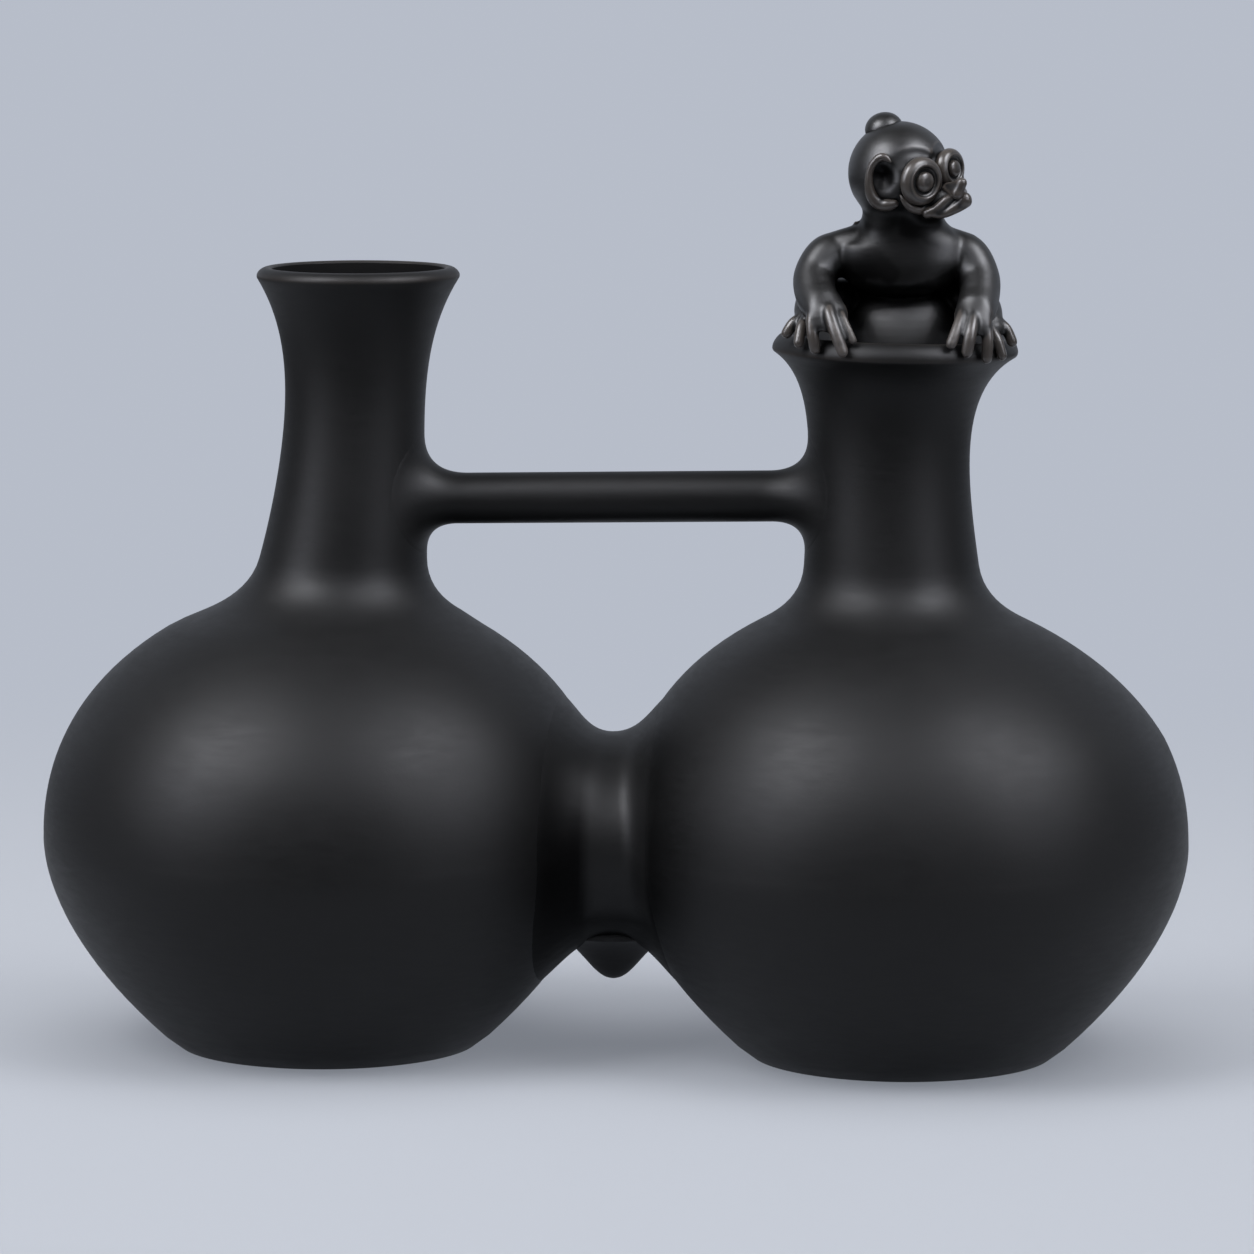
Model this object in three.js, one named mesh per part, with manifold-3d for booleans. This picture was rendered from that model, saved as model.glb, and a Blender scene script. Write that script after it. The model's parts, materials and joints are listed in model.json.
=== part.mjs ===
// Double whistling bottle of burnished black clay. Two round chambers share water and air through a short
// connecting tube, a bridge handle ties the two necks, the left neck is the open spout, and a squatting
// monkey that holds the whistle closes the right neck. The pieces are made apart and luted with slip.
// Millimetres, +Z up, +X from the spout towards the figure, origin on the table midway between the feet.

import * as THREE from 'three';
import { mergeVertices } from 'three/addons/utils/BufferGeometryUtils.js';
import Module from 'manifold-3d';

const wasm = await Module();
wasm.setup();

// Joints between luted pieces
const SEAM = 0.3;

// Chambers, alike on both sides
const BELLY_RADIUS = 54.9;
const BELLY_HEIGHT = 41.8;
const FOOT_RADIUS = 29.4;
const FOOT_FLARE = { out: 27, up: 23.5 };
const CROWN_RADIUS = 16.7;
const CROWN_HEIGHT = 88;
const CROWN_FLARE = { out: 33.4, down: 12.4 };
const BELLY_FULLNESS = { below: 1, above: 12.4 };
const CHAMBER_WALL = 4.5;
const CHAMBER_GAP = 2.1;

// Necks: the shoulder turns up into a root collar, the neck stands on it and ends in a rolled lip
const ROOT_HEIGHT = 95;
const SHOULDER_SHARE = 0.9;
const SHOULDER_PULL = 3.5;
const ROOT_PULL = 6.5;
const NECK_WALL = 3.4;
const LIP_DEPTH = 5;
const LIP_ROLL = 1.1;

const AXIS_OFFSET = BELLY_RADIUS + CHAMBER_GAP / 2;
const LEFT = {
  x: -AXIS_OFFSET,
  rootRadius: 16.2,
  rootRise: { inwards: 3.4, up: 25 },
  lipRadius: 19.4,
  lipHeight: 149.2,
  lipFlare: { inwards: 8, down: 13 },
  lipWall: 3.2,
  lean: 6.7,
  leanFrom: 82,
  leanPull: { x: 5.6, z: 91 },
  mouthDip: 0,
};
const RIGHT = {
  x: AXIS_OFFSET,
  rootRadius: 16.75,
  rootRise: { inwards: 1.75, up: 18 },
  lipRadius: 23.1,
  lipHeight: 135.6,
  lipFlare: { inwards: 9.9, down: 6.2 },
  lipWall: 4.2,
  lean: -2,
  leanFrom: 62,
  leanPull: { x: -4.6, z: 112 },
  mouthDip: 1.33,
};

// Bridge handle and connecting tube
const BAR_RADIUS = 4.9;
const BAR_HEIGHT = 107.4;
const BAR_RISE = 0.8;
const BAR_FILLET = 9;
const BAR_FILLET_TURN = 70;
const TUBE_RADIUS = 19.8;
const TUBE_BORE = 15;
const TUBE_FILLET = { side: 7.6, above: 10.6, below: 13.8 };
const TUBE_FILLET_TURN = 60;
const NUB_DROP = 8.4;
const NUB_RADIUS = 9.5;
const NUB_TIP = 2;

// Figure: its frame stands at the middle of the right lip, turned to face the viewer
const FIGURE_TURN = 5;
const FIGURE_LIFT = 0.4;

// Stations of the figure's rolls: a place, with half its width and half its depth there
const at = (x, y, z, wide, deep = wide) => ({ x, y, z, wide, deep });
const SPINE = {
  seat: at(0, 0.5, -15.7, 9),
  hips: at(0, 0.2, -4, 11, 10.6),
  belly: at(0, -0.4, 3, 11.2, 10.8),
  waist: at(0, -1.4, 9, 10, 9.4),
  chest: at(0, -3.6, 14, 9.8, 8.8),
  shoulders: at(0, -5.2, 18.5, 11, 7.8),
  nape: at(0, -6.4, 22.5, 9.8, 6.8),
  throat: at(0.3, -7, 26, 7, 5.6),
};
const ARM = {
  root: at(7, -5, 18.4, 4.3),
  shoulder: at(12.6, -5.6, 18, 4.2),
  elbow: at(15.5, -8.6, 14, 4),
  forearm: at(14.2, -13.6, 9.6, 3.7),
};
const LEG = {
  hip: at(6, 2, 3.5, 4.2),
  knee: at(11.6, -0.4, 10.2, 4),
  shin: at(15.4, -5, 9.4, 3.3),
};

// Hands and feet hold the lip: each place on it is an angle from the front, a reach past the lip and a height
const hold = (degrees, out, up, wide, deep = wide) => ({ degrees, out, up, wide, deep });
const FINGER = 1.15;
const TOE = 1.2;
const HANDS = {
  right: {
    wrist: hold(-32, -1.4, 5.8, 3.4, 2.8),
    tips: [hold(-38, 2.1, 1.4, FINGER), hold(-24.5, 2.1, 0.9, FINGER), hold(-18, 0.3, 3.2, FINGER)],
  },
  left: {
    wrist: hold(35, -1.4, 5.8, 3.4, 2.8),
    tips: [hold(42.5, 2.1, 0.3, FINGER), hold(32, 2.1, 1.2, FINGER), hold(25, 0.3, 3.1, FINGER)],
  },
};
const FEET = {
  right: { ankle: hold(-56, -2.2, 5.2, 2.4, 2.2), tips: [hold(-50, 1.6, 2.2, TOE), hold(-59, 1.4, 3, TOE)] },
  left: { ankle: hold(61, -2.2, 5.2, 2.4, 2.2), tips: [hold(57, 1.6, 0.6, TOE), hold(66, 1.4, 2.2, TOE)] },
};
const KNUCKLE = { in: 0.4, up: 4.4 };

// Head, turned to one side and rolled, with its features as applied rolls and pellets
const HEAD_AT = { x: 0.55, y: -7, z: 34.4 };
const HEAD_TURN = 45;
const HEAD_ROLL = -20;
const CRANIUM_RADIUS = 9.6;
const MUZZLE = {
  root: at(0, -1, -3.6, 7, 6),
  cheeks: at(0, -6, -4.5, 6.1, 5.1),
  jaw: at(0, -10.5, -4.9, 3.8, 3.2),
  snout: at(0, -14, -4, 1.3, 1.6),
};
const EYE_AT = { x: 4.2, y: -9.6, z: 0.35 };
const EYE_SPLAY = 9;
const EYE_RING_RADIUS = 3.6;
const EYE_RING_GIRTH = 1.1;
const LEFT_EYE_SHARE = 0.79;
const PUPIL = { radius: 2, tall: 2.08, deep: 1.3 };
const NOSE = {
  bridge: at(0, -12, -2.2, 1.2, 1.1),
  ridge: at(0, -14.2, -2.1, 1.35, 1.3),
  tip: at(0, -15.8, -1.25, 1.15, 1.1),
};
const UPPER_LIP = {
  corner: at(5.2, -9.7, -5.75, 0.9),
  side: at(3.1, -11.95, -4.6, 1),
  front: at(0, -13.9, -3.9, 0.95),
};
const LOWER_LIP = {
  corner: at(4.8, -10.3, -7, 0.8),
  side: at(3.2, -12.4, -6.4, 1),
  front: at(0, -15.9, -4.9, 1.3),
};
const EAR = { ball: 10.1, y: -4, z: 1.8, forth: 2.6, up: 4.5, girth: 1.15 };
const LEFT_EAR_SHIFT = { y: 3.6, z: -3.4 };
const TOPKNOT = at(1.2, 2.85, 8.4, 3.45, 3.05);

// Whistle, hidden in the figure
const PLATE_DEPTH = 9.6;
const PLATE_THICKNESS = 3;
const WINDWAY_RADIUS = 2;
const HOLLOW_RADIUS = 6.3;
const HOLLOW_TOP = 10;
const WHISTLE_RADIUS = 5.2;
const WHISTLE_WALL = 1.4;
const WHISTLE_MOUTH = 1.7;
const SOUND_HOLE_RADIUS = 1.5;
const SOUND_HOLE_DEPTH = 12;

// Facets
const TURN_SIDES = 28;
const LIMB_SIDES = 8;
const FINE_SIDES = 6;

const flat = (r, z) => new THREE.Vector2(r, z);
const radians = THREE.MathUtils.degToRad;
const X_AXIS = new THREE.Vector3(1, 0, 0);
const Y_AXIS = new THREE.Vector3(0, 1, 0);
const Z_AXIS = new THREE.Vector3(0, 0, 1);

// Solids and booleans

function solid(geometry) {
  const bare = geometry.clone();
  bare.deleteAttribute('normal');
  bare.deleteAttribute('uv');
  const merged = mergeVertices(bare, 1e-4);
  const position = merged.attributes.position;
  const index = merged.index.array;
  const triangles = [];
  let volume = 0;
  const [a, b, c] = [new THREE.Vector3(), new THREE.Vector3(), new THREE.Vector3()];
  for (let i = 0; i < index.length; i += 3) {
    const [p, q, r] = [index[i], index[i + 1], index[i + 2]];
    if (p === q || q === r || r === p) continue;
    triangles.push(p, q, r);
    a.fromBufferAttribute(position, p);
    b.fromBufferAttribute(position, q);
    c.fromBufferAttribute(position, r);
    volume += a.dot(b.cross(c));
  }
  if (volume < 0) triangles.reverse();
  return new wasm.Manifold(new wasm.Mesh({
    numProp: 3,
    vertProperties: new Float32Array(position.array),
    triVerts: new Uint32Array(triangles),
  }));
}

function surface(shape) {
  const { vertProperties, triVerts } = shape.getMesh();
  const geometry = new THREE.BufferGeometry();
  geometry.setAttribute('position', new THREE.BufferAttribute(vertProperties, 3));
  geometry.setIndex(new THREE.BufferAttribute(triVerts, 1));
  geometry.computeVertexNormals();
  return geometry;
}

// Crumbs of clay that a cut leaves loose beside the main body are brushed off
function mainBody(shape) {
  const { vertProperties, triVerts } = shape.getMesh();
  const parent = Array.from({ length: vertProperties.length / 3 }, (_, i) => i);
  const rootOf = (i) => {
    let at = i;
    while (parent[at] !== at) at = parent[at];
    parent[i] = at;
    return at;
  };
  for (let i = 0; i < triVerts.length; i += 3) {
    parent[rootOf(triVerts[i + 1])] = rootOf(triVerts[i]);
    parent[rootOf(triVerts[i + 2])] = rootOf(triVerts[i]);
  }
  const bodies = new Map();
  for (let i = 0; i < triVerts.length; i += 3) {
    const root = rootOf(triVerts[i]);
    if (!bodies.has(root)) bodies.set(root, []);
    bodies.get(root).push(...triVerts.slice(i, i + 3));
  }
  const main = [...bodies.values()].sort((a, b) => b.length - a.length)[0];
  const geometry = new THREE.BufferGeometry();
  geometry.setAttribute('position', new THREE.BufferAttribute(vertProperties, 3));
  geometry.setIndex(main);
  return solid(geometry);
}

const cut = (shape, ...tools) => mainBody(tools.reduce((left, tool) => left.subtract(tool), shape));
const join = (shape, ...others) => others.reduce((sum, other) => sum.add(other), shape);

function piece(parent, name, shape, color, roughness) {
  const material = new THREE.MeshStandardMaterial({ color, roughness, metalness: 0 });
  const mesh = new THREE.Mesh(surface(shape), material);
  mesh.name = name;
  parent.add(mesh);
}

// Outlines: points run up the outside of a wall, so that the outward normal lies on their right

function normals(points) {
  const closed = points[0].equals(points[points.length - 1]);
  const last = points.length - 1;
  return points.map((point, i) => {
    const before = points[i === 0 ? (closed ? last - 1 : 0) : i - 1];
    const after = points[i === last ? (closed ? 1 : last) : i + 1];
    const along = after.clone().sub(before).normalize();
    return flat(along.y, -along.x);
  });
}

function inflate(points, by) {
  const out = normals(points);
  return points.map((point, i) => {
    const moved = point.clone().addScaledVector(out[i], by);
    return point.x < 1e-6 ? flat(0, moved.y) : moved;
  });
}

function shareAt(curve, height) {
  let low = 0;
  let high = 1;
  for (let i = 0; i < 40; i += 1) {
    const middle = (low + high) / 2;
    if (curve.getPoint(middle).y < height) low = middle;
    else high = middle;
  }
  return (low + high) / 2;
}

// A run of outline: points on a curve with their direction and the outward normal
function trace(curve, from, to, count) {
  return Array.from({ length: count + 1 }, (_, i) => {
    const share = from + ((to - from) * i) / count;
    const along = curve.getTangent(share);
    return { at: curve.getPoint(share), along, out: flat(along.y, -along.x) };
  });
}

// Draws a run back from the seam at its lower or upper end
function seamed(run, lower, upper) {
  const last = run[run.length - 1];
  if (lower) run[0].at.addScaledVector(run[0].along, SEAM / 2);
  if (upper) last.at.addScaledVector(last.along, -SEAM / 2);
  return run;
}

const outside = (run) => run.map(({ at }) => at);

function inside(run, wallAt) {
  const last = run.length - 1;
  return run.map(({ at, out }, i) => at.clone().addScaledVector(out, -wallAt(i / last))).reverse();
}

const closeLoop = (points) => [...points, points[0].clone()];

// Curves of one bottle, from the foot up to the edge of the lip

function bottleCurves(bottle) {
  const belly = flat(BELLY_RADIUS, BELLY_HEIGHT);
  const lower = new THREE.CubicBezierCurve(
    flat(FOOT_RADIUS, 0),
    flat(FOOT_RADIUS + FOOT_FLARE.out, FOOT_FLARE.up),
    flat(BELLY_RADIUS, BELLY_HEIGHT - BELLY_FULLNESS.below),
    belly,
  );
  const upper = new THREE.CubicBezierCurve(
    belly,
    flat(BELLY_RADIUS, BELLY_HEIGHT + BELLY_FULLNESS.above),
    flat(CROWN_RADIUS + CROWN_FLARE.out, CROWN_HEIGHT - CROWN_FLARE.down),
    flat(CROWN_RADIUS, CROWN_HEIGHT),
  );
  const shoulder = upper.getPoint(SHOULDER_SHARE);
  const root = flat(bottle.rootRadius, ROOT_HEIGHT);
  const rise = flat(-bottle.rootRise.inwards, bottle.rootRise.up);
  const lip = flat(bottle.lipRadius, bottle.lipHeight);
  const collar = new THREE.CubicBezierCurve(
    shoulder,
    shoulder.clone().addScaledVector(upper.getTangent(SHOULDER_SHARE), SHOULDER_PULL),
    root.clone().addScaledVector(rise.clone().normalize(), -ROOT_PULL),
    root,
  );
  const neck = new THREE.CubicBezierCurve(
    root,
    root.clone().add(rise),
    flat(lip.x - bottle.lipFlare.inwards, lip.y - bottle.lipFlare.down),
    lip,
  );
  return { lower, upper, collar, neck };
}

// Each bottle's axis leans and its mouth dips a little, as hand-built necks do

function leanAt(bottle, height) {
  if (height <= bottle.leanFrom) return 0;
  const path = new THREE.QuadraticBezierCurve(
    flat(0, bottle.leanFrom),
    flat(bottle.leanPull.x, bottle.leanPull.z),
    flat(bottle.lean, bottle.lipHeight),
  );
  if (height < bottle.lipHeight) return path.getPoint(shareAt(path, height)).x;
  const end = path.getTangent(1);
  return bottle.lean + ((height - bottle.lipHeight) * end.x) / end.y;
}

function stand(points, bottle) {
  const geometry = new THREE.LatheGeometry(points, TURN_SIDES).rotateX(Math.PI / 2);
  const position = geometry.attributes.position;
  const slope = Math.tan(radians(bottle.mouthDip));
  for (let i = 0; i < position.count; i += 1) {
    const [x, y, z] = [position.getX(i), position.getY(i), position.getZ(i)];
    const dip = slope * x * THREE.MathUtils.smoothstep(z, ROOT_HEIGHT, bottle.lipHeight);
    position.setXYZ(i, bottle.x + leanAt(bottle, z) + x, y, z - dip);
  }
  return geometry;
}

function lipOutline(bottle) {
  const { neck } = bottleCurves(bottle);
  const run = seamed(trace(neck, shareAt(neck, bottle.lipHeight - LIP_DEPTH), 1, 3), true, false);
  const outer = outside(run);
  const inner = inside(run, (t) => THREE.MathUtils.lerp(NECK_WALL, bottle.lipWall, t));
  const middle = outer[3].clone().add(inner[0]).multiplyScalar(0.5);
  const half = outer[3].clone().sub(middle);
  const rolled = [45, 90, 135].map((degrees) => middle.clone()
    .addScaledVector(half, Math.cos(radians(degrees)))
    .addScaledVector(run[3].along, LIP_ROLL * Math.sin(radians(degrees))));
  return closeLoop([...outer, ...rolled, ...inner]);
}

function bowlOutline(bottle) {
  const { lower } = bottleCurves(bottle);
  const outer = outside(seamed(trace(lower, 0, 1, 7), false, true));
  const inner = inside(seamed(trace(lower, 0, 1, 5), false, true), () => CHAMBER_WALL);
  return [flat(0, 0), ...outer, ...inner, flat(0, CHAMBER_WALL)];
}

function shoulderOutline(bottle) {
  const { upper, collar } = bottleCurves(bottle);
  const run = seamed([...trace(upper, 0, SHOULDER_SHARE, 5), ...trace(collar, 0.25, 1, 3)], true, true);
  const inner = inside(run, (t) => THREE.MathUtils.lerp(CHAMBER_WALL, NECK_WALL, t));
  return closeLoop([...outside(run), ...inner]);
}

function neckOutline(bottle) {
  const { neck } = bottleCurves(bottle);
  const run = seamed(trace(neck, 0, shareAt(neck, bottle.lipHeight - LIP_DEPTH), 5), true, true);
  return closeLoop([...outside(run), ...inside(run, () => NECK_WALL)]);
}

function bottleBody(bottle, grow) {
  const { lower, upper, collar, neck } = bottleCurves(bottle);
  const run = [
    ...trace(lower, 0, 1, 7),
    ...trace(upper, SHOULDER_SHARE / 5, SHOULDER_SHARE, 4),
    ...trace(collar, 0.25, 1, 3),
    ...trace(neck, 0.14, 1, 6),
  ];
  const outline = [flat(0, 0), ...outside(run), flat(0, bottle.lipHeight)];
  return solid(stand(inflate(outline, grow), bottle));
}

// Rolled clay: a lathe of unit girth laid along a curve, with an oval section and rounded ends

function roll(stations, sides, across, grow = 0, steps = 2) {
  const through = (points) => new THREE.CatmullRomCurve3(points);
  const spine = through(stations.map(({ x, y, z }) => new THREE.Vector3(x, y, z)));
  const girth = through(stations.map(({ wide, deep }) => new THREE.Vector3(wide, deep, 0)));
  const count = (stations.length - 1) * steps;
  const caps = sides > LIMB_SIDES ? 3 : 2;
  const rings = [];
  for (let i = 0; i <= count; i += 1) rings.push({ share: i / count, scale: 1, slide: 0 });
  for (let i = 1; i <= caps; i += 1) {
    const turn = (i / caps) * (Math.PI / 2);
    rings.unshift({ share: 0, scale: Math.cos(turn), slide: -Math.sin(turn) });
    rings.push({ share: 1, scale: Math.cos(turn), slide: Math.sin(turn) });
  }
  const frames = rings.map(({ share }) => {
    const along = spine.getTangent(share);
    const side = across.clone().addScaledVector(along, -across.dot(along)).normalize();
    const up = along.clone().cross(side);
    return { centre: spine.getPoint(share), along, side, up, size: girth.getPoint(share) };
  });
  const geometry = new THREE.LatheGeometry(rings.map(({ scale }, i) => flat(scale, i)), sides);
  const position = geometry.attributes.position;
  const moved = new THREE.Vector3();
  for (let i = 0; i < position.count; i += 1) {
    const ring = Math.round(position.getY(i));
    const { centre, along, side, up, size } = frames[ring];
    moved.copy(centre)
      .addScaledVector(side, position.getX(i) * (size.x + grow))
      .addScaledVector(up, position.getZ(i) * (size.y + grow))
      .addScaledVector(along, rings[ring].slide * (Math.min(size.x, size.y) + grow));
    position.setXYZ(i, moved.x, moved.y, moved.z);
  }
  return solid(geometry);
}

function ball(rx, ry, rz, [x, y, z], sides = 10) {
  const geometry = new THREE.SphereGeometry(1, sides, Math.round(sides * 0.6));
  return solid(geometry.rotateX(Math.PI / 2).scale(rx, ry, rz).translate(x, y, z));
}

function drill(radius, length, axis, [x, y, z]) {
  const geometry = new THREE.CylinderGeometry(radius, radius, length, TURN_SIDES / 2);
  geometry.applyQuaternion(new THREE.Quaternion().setFromUnitVectors(Y_AXIS, axis));
  return solid(geometry.translate(x, y, z));
}

// Vessel

const CLAY = 0x212022;
const CLAY_ROUGHNESS = 0.5;
const FIGURE_CLAY = 0x292523;
const FIGURE_ROUGHNESS = 0.35;

const bottle = new THREE.Group();

const boreLength = 2 * (CHAMBER_GAP + 2 * CHAMBER_WALL + TUBE_BORE / 4);
const tubeBore = drill(TUBE_BORE, boreLength, X_AXIS, [0, 0, BELLY_HEIGHT]);
for (const [side, half] of [['left', LEFT], ['right', RIGHT]]) {
  const bowl = solid(stand(bowlOutline(half), half));
  const shoulder = solid(stand(shoulderOutline(half), half));
  piece(bottle, `${side}_chamber_bowl`, cut(bowl, tubeBore), CLAY, CLAY_ROUGHNESS);
  piece(bottle, `${side}_chamber_shoulder`, cut(shoulder, tubeBore), CLAY, CLAY_ROUGHNESS);
  piece(bottle, `${side}_neck`, solid(stand(neckOutline(half), half)), CLAY, CLAY_ROUGHNESS);
  piece(bottle, `${side}_lip`, solid(stand(lipOutline(half), half)), CLAY, CLAY_ROUGHNESS);
}
const bodies = [bottleBody(LEFT, SEAM), bottleBody(RIGHT, SEAM)];

// The bridge handle is a round bar whose ends open like trumpets and wrap the necks
function bridgeHandle() {
  const ends = [LEFT, RIGHT].map((half) => {
    const { neck } = bottleCurves(half);
    const radius = neck.getPoint(shareAt(neck, BAR_HEIGHT)).x;
    const axis = half.x + leanAt(half, BAR_HEIGHT);
    return { radius, face: axis - Math.sign(half.x) * radius };
  });
  const flare = [1, 0.8, 0.6, 0.4, 0.2, 0].map((share) => {
    const turn = radians(share * BAR_FILLET_TURN);
    const radius = BAR_RADIUS + BAR_FILLET * (1 - Math.cos(turn));
    return { back: BAR_FILLET * (1 - Math.sin(turn)), radius };
  });
  const [left, right] = ends;
  const outline = [
    flat(0, left.face - left.radius / 2),
    flat(flare[0].radius, left.face - left.radius / 2),
    ...flare.map(({ back, radius }) => flat(radius, left.face + back)),
    ...flare.map(({ back, radius }) => flat(radius, right.face - back)).reverse(),
    flat(flare[0].radius, right.face + right.radius / 2),
    flat(0, right.face + right.radius / 2),
  ];
  const geometry = new THREE.LatheGeometry(outline, TURN_SIDES / 2).rotateZ(-Math.PI / 2);
  const position = geometry.attributes.position;
  for (let i = 0; i < position.count; i += 1) {
    const [x, y] = [position.getX(i), position.getY(i)];
    const z = position.getZ(i);
    const { radius } = x < 0 ? left : right;
    const wrap = radius - Math.sqrt(Math.max(radius * radius - z * z, 0));
    position.setXYZ(i, x + Math.sign(x) * wrap, -z, y);
  }
  geometry.rotateY(-radians(BAR_RISE)).translate(0, 0, BAR_HEIGHT);
  return cut(solid(geometry), ...bodies);
}

// The connecting tube is a concave collar in the wedge between the bellies, open along its bore. Its fillet
// is wider above and below, where the chambers curve away, than at the front and back.
function connectingTube(grow) {
  const turns = [-1, -0.67, -0.33, 0, 0.33, 0.67, 1].map((share) => radians(share * TUBE_FILLET_TURN));
  const ends = [turns[turns.length - 1], turns[0]];
  const arc = [...turns, ...ends];
  const outline = closeLoop(arc.map((turn, i) => flat(i < turns.length ? TUBE_RADIUS : TUBE_BORE, i)));
  const geometry = new THREE.LatheGeometry(outline, TURN_SIDES);
  const position = geometry.attributes.position;
  for (let i = 0; i < position.count; i += 1) {
    const ring = Math.round(position.getY(i));
    const around = Math.atan2(position.getX(i), position.getZ(i));
    const [forth, up] = [Math.sin(around), Math.cos(around)];
    const fillet = TUBE_FILLET.side * forth ** 2 + (up > 0 ? TUBE_FILLET.above : TUBE_FILLET.below) * up ** 2;
    const outer = TUBE_RADIUS + grow + fillet * (1 - Math.cos(arc[ring]));
    const radius = ring < turns.length ? outer : TUBE_BORE;
    position.setXYZ(i, fillet * Math.sin(arc[ring]), forth * radius, BELLY_HEIGHT + up * radius);
  }
  return solid(geometry);
}

// A pinched nub of clay hangs below the tube
function tubeNub() {
  const under = BELLY_HEIGHT - TUBE_RADIUS;
  const tip = under - NUB_DROP;
  const flank = new THREE.CubicBezierCurve(
    flat(NUB_TIP, tip + NUB_TIP / 2),
    flat(NUB_RADIUS * 0.5, tip + NUB_DROP * 0.45),
    flat(NUB_RADIUS * 0.7, tip + NUB_DROP * 0.55),
    flat(NUB_RADIUS, under),
  );
  const point = [flat(0, tip), flat(NUB_TIP * 0.7, tip + NUB_TIP * 0.18)];
  const outline = [...point, ...outside(trace(flank, 0, 1, 5)), flat(0, under + NUB_TIP)];
  const geometry = new THREE.LatheGeometry(outline, TURN_SIDES / 2);
  return cut(solid(geometry.rotateX(Math.PI / 2)), connectingTube(SEAM), ...bodies);
}

piece(bottle, 'bridge_handle', bridgeHandle(), CLAY, CLAY_ROUGHNESS);
piece(bottle, 'connecting_tube', cut(connectingTube(0), ...bodies), CLAY, CLAY_ROUGHNESS);
piece(bottle, 'tube_nub', tubeNub(), CLAY, CLAY_ROUGHNESS);

// A plate with a windway closes the right neck below the figure
const plateTop = RIGHT.lipHeight - PLATE_DEPTH;
const neckInside = (() => {
  const { neck } = bottleCurves(RIGHT);
  return (height) => neck.getPoint(shareAt(neck, height)).x - NECK_WALL - SEAM;
})();
const plateLow = plateTop - PLATE_THICKNESS;
const plateOutline = closeLoop([
  flat(WINDWAY_RADIUS, plateLow),
  flat(neckInside(plateLow), plateLow),
  flat(neckInside(plateTop), plateTop),
  flat(WINDWAY_RADIUS, plateTop),
]);
piece(bottle, 'mouth_plate', solid(stand(plateOutline, RIGHT)), CLAY, CLAY_ROUGHNESS);

// Figure

const figure = new THREE.Group();
figure.position.set(RIGHT.x + leanAt(RIGHT, RIGHT.lipHeight), 0, RIGHT.lipHeight + FIGURE_LIFT);
figure.rotation.z = radians(FIGURE_TURN);
figure.updateMatrixWorld(true);
bottle.add(figure);

const intoFigure = figure.matrixWorld.clone().invert();
const lipSeat = solid(stand(inflate(lipOutline(RIGHT), SEAM), RIGHT).applyMatrix4(intoFigure));
const plateSeat = solid(stand([
  flat(0, plateLow - PLATE_THICKNESS),
  flat(RIGHT.lipRadius, plateLow - PLATE_THICKNESS),
  flat(RIGHT.lipRadius, plateTop + SEAM),
  flat(0, plateTop + SEAM),
], RIGHT).applyMatrix4(intoFigure));
const seat = -PLATE_DEPTH - FIGURE_LIFT + SEAM;

// The head is turned to one side and rolled, and carries its features as applied rolls and pellets
const head = new THREE.Group();
head.position.set(HEAD_AT.x, HEAD_AT.y, HEAD_AT.z);
head.rotation.set(0, radians(HEAD_ROLL), radians(HEAD_TURN), 'ZYX');
figure.add(head);
figure.updateMatrixWorld(true);

const [SIDE_R, SIDE_L] = [-1, 1];
const onSide = (station, side) => ({ ...station, x: side * station.x });

function skull(grow) {
  const radius = CRANIUM_RADIUS + grow;
  const cranium = ball(radius, radius, radius, [0, 0, 0], 12);
  return join(cranium, roll(Object.values(MUZZLE), 10, X_AXIS, grow));
}

function onEye(geometry, side) {
  geometry.rotateX(Math.PI / 2).rotateZ(radians(side * EYE_SPLAY));
  return solid(geometry.translate(side * EYE_AT.x, EYE_AT.y, EYE_AT.z));
}

const eyeShare = (side) => (side === SIDE_L ? LEFT_EYE_SHARE : 1);

function eyeRing(side, grow) {
  const share = eyeShare(side);
  const girth = EYE_RING_GIRTH * share + grow;
  return onEye(new THREE.TorusGeometry(EYE_RING_RADIUS * share, girth, FINE_SIDES, 14), side);
}

function pupil(side, grow) {
  const [wide, tall, deep] = [PUPIL.radius, PUPIL.tall, PUPIL.deep].map((size) => size * eyeShare(side) + grow);
  return onEye(new THREE.SphereGeometry(1, 10, 6).scale(wide, tall, deep), side);
}

const nose = (grow) => roll(Object.values(NOSE), FINE_SIDES, X_AXIS, grow);

function lipRoll({ corner, side, front }, grow) {
  const half = [corner, side].map((station) => onSide(station, SIDE_R));
  return roll([...half, front, side, corner], FINE_SIDES, Z_AXIS, grow);
}

const upperLip = (grow) => lipRoll(UPPER_LIP, grow);
const lowerLip = (grow) => lipRoll(LOWER_LIP, grow);

// Each ear is a roll bent into a C that opens towards the face, laid on a ball round the skull
function ear(side, grow) {
  const shift = side === SIDE_L ? LEFT_EAR_SHIFT : { y: 0, z: 0 };
  const arc = [75, 120, 165, 210, 255, 295].map((degrees) => {
    const turn = radians(degrees);
    const y = EAR.y + shift.y - EAR.forth * Math.cos(turn);
    const z = EAR.z + shift.z + EAR.up * Math.sin(turn);
    return at(side * Math.sqrt(EAR.ball ** 2 - y ** 2 - z ** 2), y, z, EAR.girth);
  });
  return roll(arc, FINE_SIDES, X_AXIS, grow);
}

function topknot(grow) {
  const { x, y, z, wide, deep } = TOPKNOT;
  return ball(wide + grow, wide + grow, deep + grow, [x, y, z]);
}

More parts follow.
